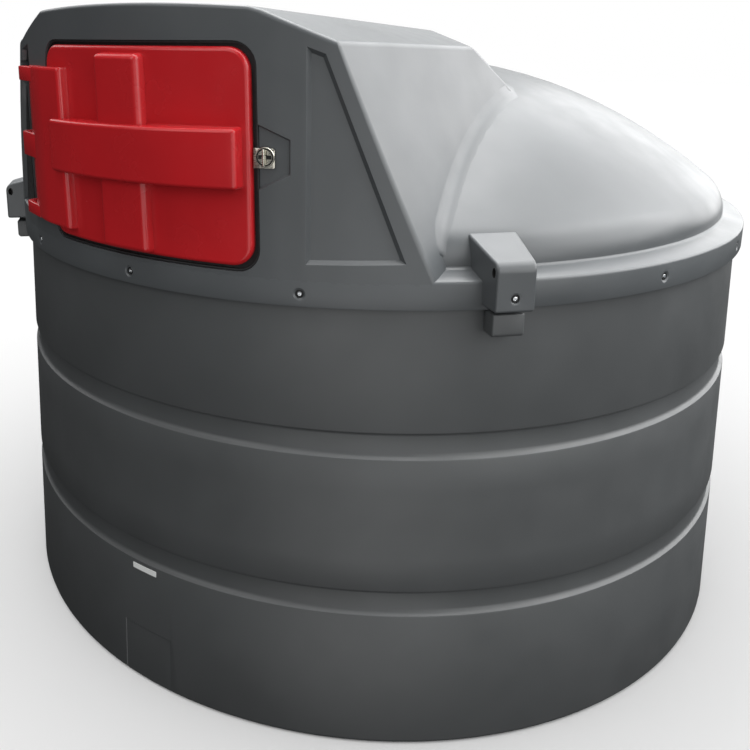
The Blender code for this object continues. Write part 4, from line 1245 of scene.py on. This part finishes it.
class TANK_OT_stage(bpy.types.Operator):
    """Pale floor, soft light and the camera"""

    bl_idname = "tank.stage"
    bl_label = "Stage"

    def execute(self, context):
        let_go()
        bpy.ops.mesh.primitive_plane_add(size=60.0, location=(0, 0, 0))
        floor = bpy.context.object
        floor.name = "floor"
        ground = bpy.data.materials.new("floor_paint")
        ground.use_nodes = True
        shader = ground.node_tree.nodes["Principled BSDF"]
        shader.inputs["Base Color"].default_value = FLOOR_SHADE
        shader.inputs["Roughness"].default_value = 0.9
        floor.data.materials.append(ground)
        floor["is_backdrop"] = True
        tank = bpy.data.collections.new("lit_by_panels")
        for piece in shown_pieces():
            tank.objects.link(piece)
        for name, (azimuth, rise, energy) in PANEL_LIGHTS.items():
            soft_light(name, azimuth, rise, PANEL_WIDTH, energy, tank)
        ground_only = bpy.data.collections.new("lit_by_floor_light")
        ground_only.objects.link(floor)
        soft_light("floor_light", 0, 89, FLOOR_LIGHT_WIDTH, FLOOR_LIGHT, ground_only)
        floor.visible_diffuse = False
        floor.visible_glossy = False
        floor.visible_shadow = False
        studio()
        context.scene.view_settings.view_transform = "Standard"
        camera = bpy.data.cameras.new("camera")
        camera.sensor_width = 36.0
        camera.sensor_fit = "HORIZONTAL"
        camera.lens = CAMERA_LENS
        camera.shift_x, camera.shift_y = CAMERA_SHIFT
        camera.clip_start, camera.clip_end = 0.05, 200.0
        viewer = bpy.data.objects.new("camera", camera)
        context.scene.collection.objects.link(viewer)
        yaw, tilt = radians(CAMERA_YAW), radians(CAMERA_TILT)
        ahead = Vector((sin(yaw) * cos(tilt), cos(yaw) * cos(tilt), -sin(tilt)))
        ahead.rotate(Matrix.Rotation(radians(CAMERA_AZIMUTH), 3, "Z"))
        viewer.location = CAMERA_PLACE
        viewer.rotation_euler = ahead.to_track_quat("-Z", "Y").to_euler()
        context.scene.camera = viewer
        return {"FINISHED"}


class TANK_PT_panel(bpy.types.Panel):
    """Sidebar panel with the tank's settings and steps"""

    bl_label = "Round bunded tank"
    bl_idname = "TANK_PT_panel"
    bl_space_type = "VIEW_3D"
    bl_region_type = "UI"
    bl_category = "Tank"

    def draw(self, context):
        column = self.layout.column()
        look = context.scene.tank
        for key in TankSettings.__annotations__:
            column.prop(look, key)
        for step in STEPS:
            column.operator(step.bl_idname)


STEPS = (TANK_OT_body, TANK_OT_cover, TANK_OT_cabinet, TANK_OT_crease, TANK_OT_recess_shade,
         TANK_OT_lugs, TANK_OT_bolts, TANK_OT_seal, TANK_OT_door, TANK_OT_hinge, TANK_OT_lock,
         TANK_OT_label, TANK_OT_inside, TANK_OT_stage)
CLASSES = (TankSettings, *STEPS, TANK_PT_panel)


def register():
    """Register the settings, the steps and the panel."""
    for item in CLASSES:
        bpy.utils.register_class(item)
    bpy.types.Scene.tank = bpy.props.PointerProperty(type=TankSettings)


def unregister():
    """Remove what register added."""
    del bpy.types.Scene.tank
    for item in reversed(CLASSES):
        bpy.utils.unregister_class(item)


def main():
    """Build every piece in order."""
    register()
    for step in STEPS:
        group, name = step.bl_idname.split(".")
        getattr(getattr(bpy.ops, group), name)()
    let_go()


if __name__ == "__main__":
    main()
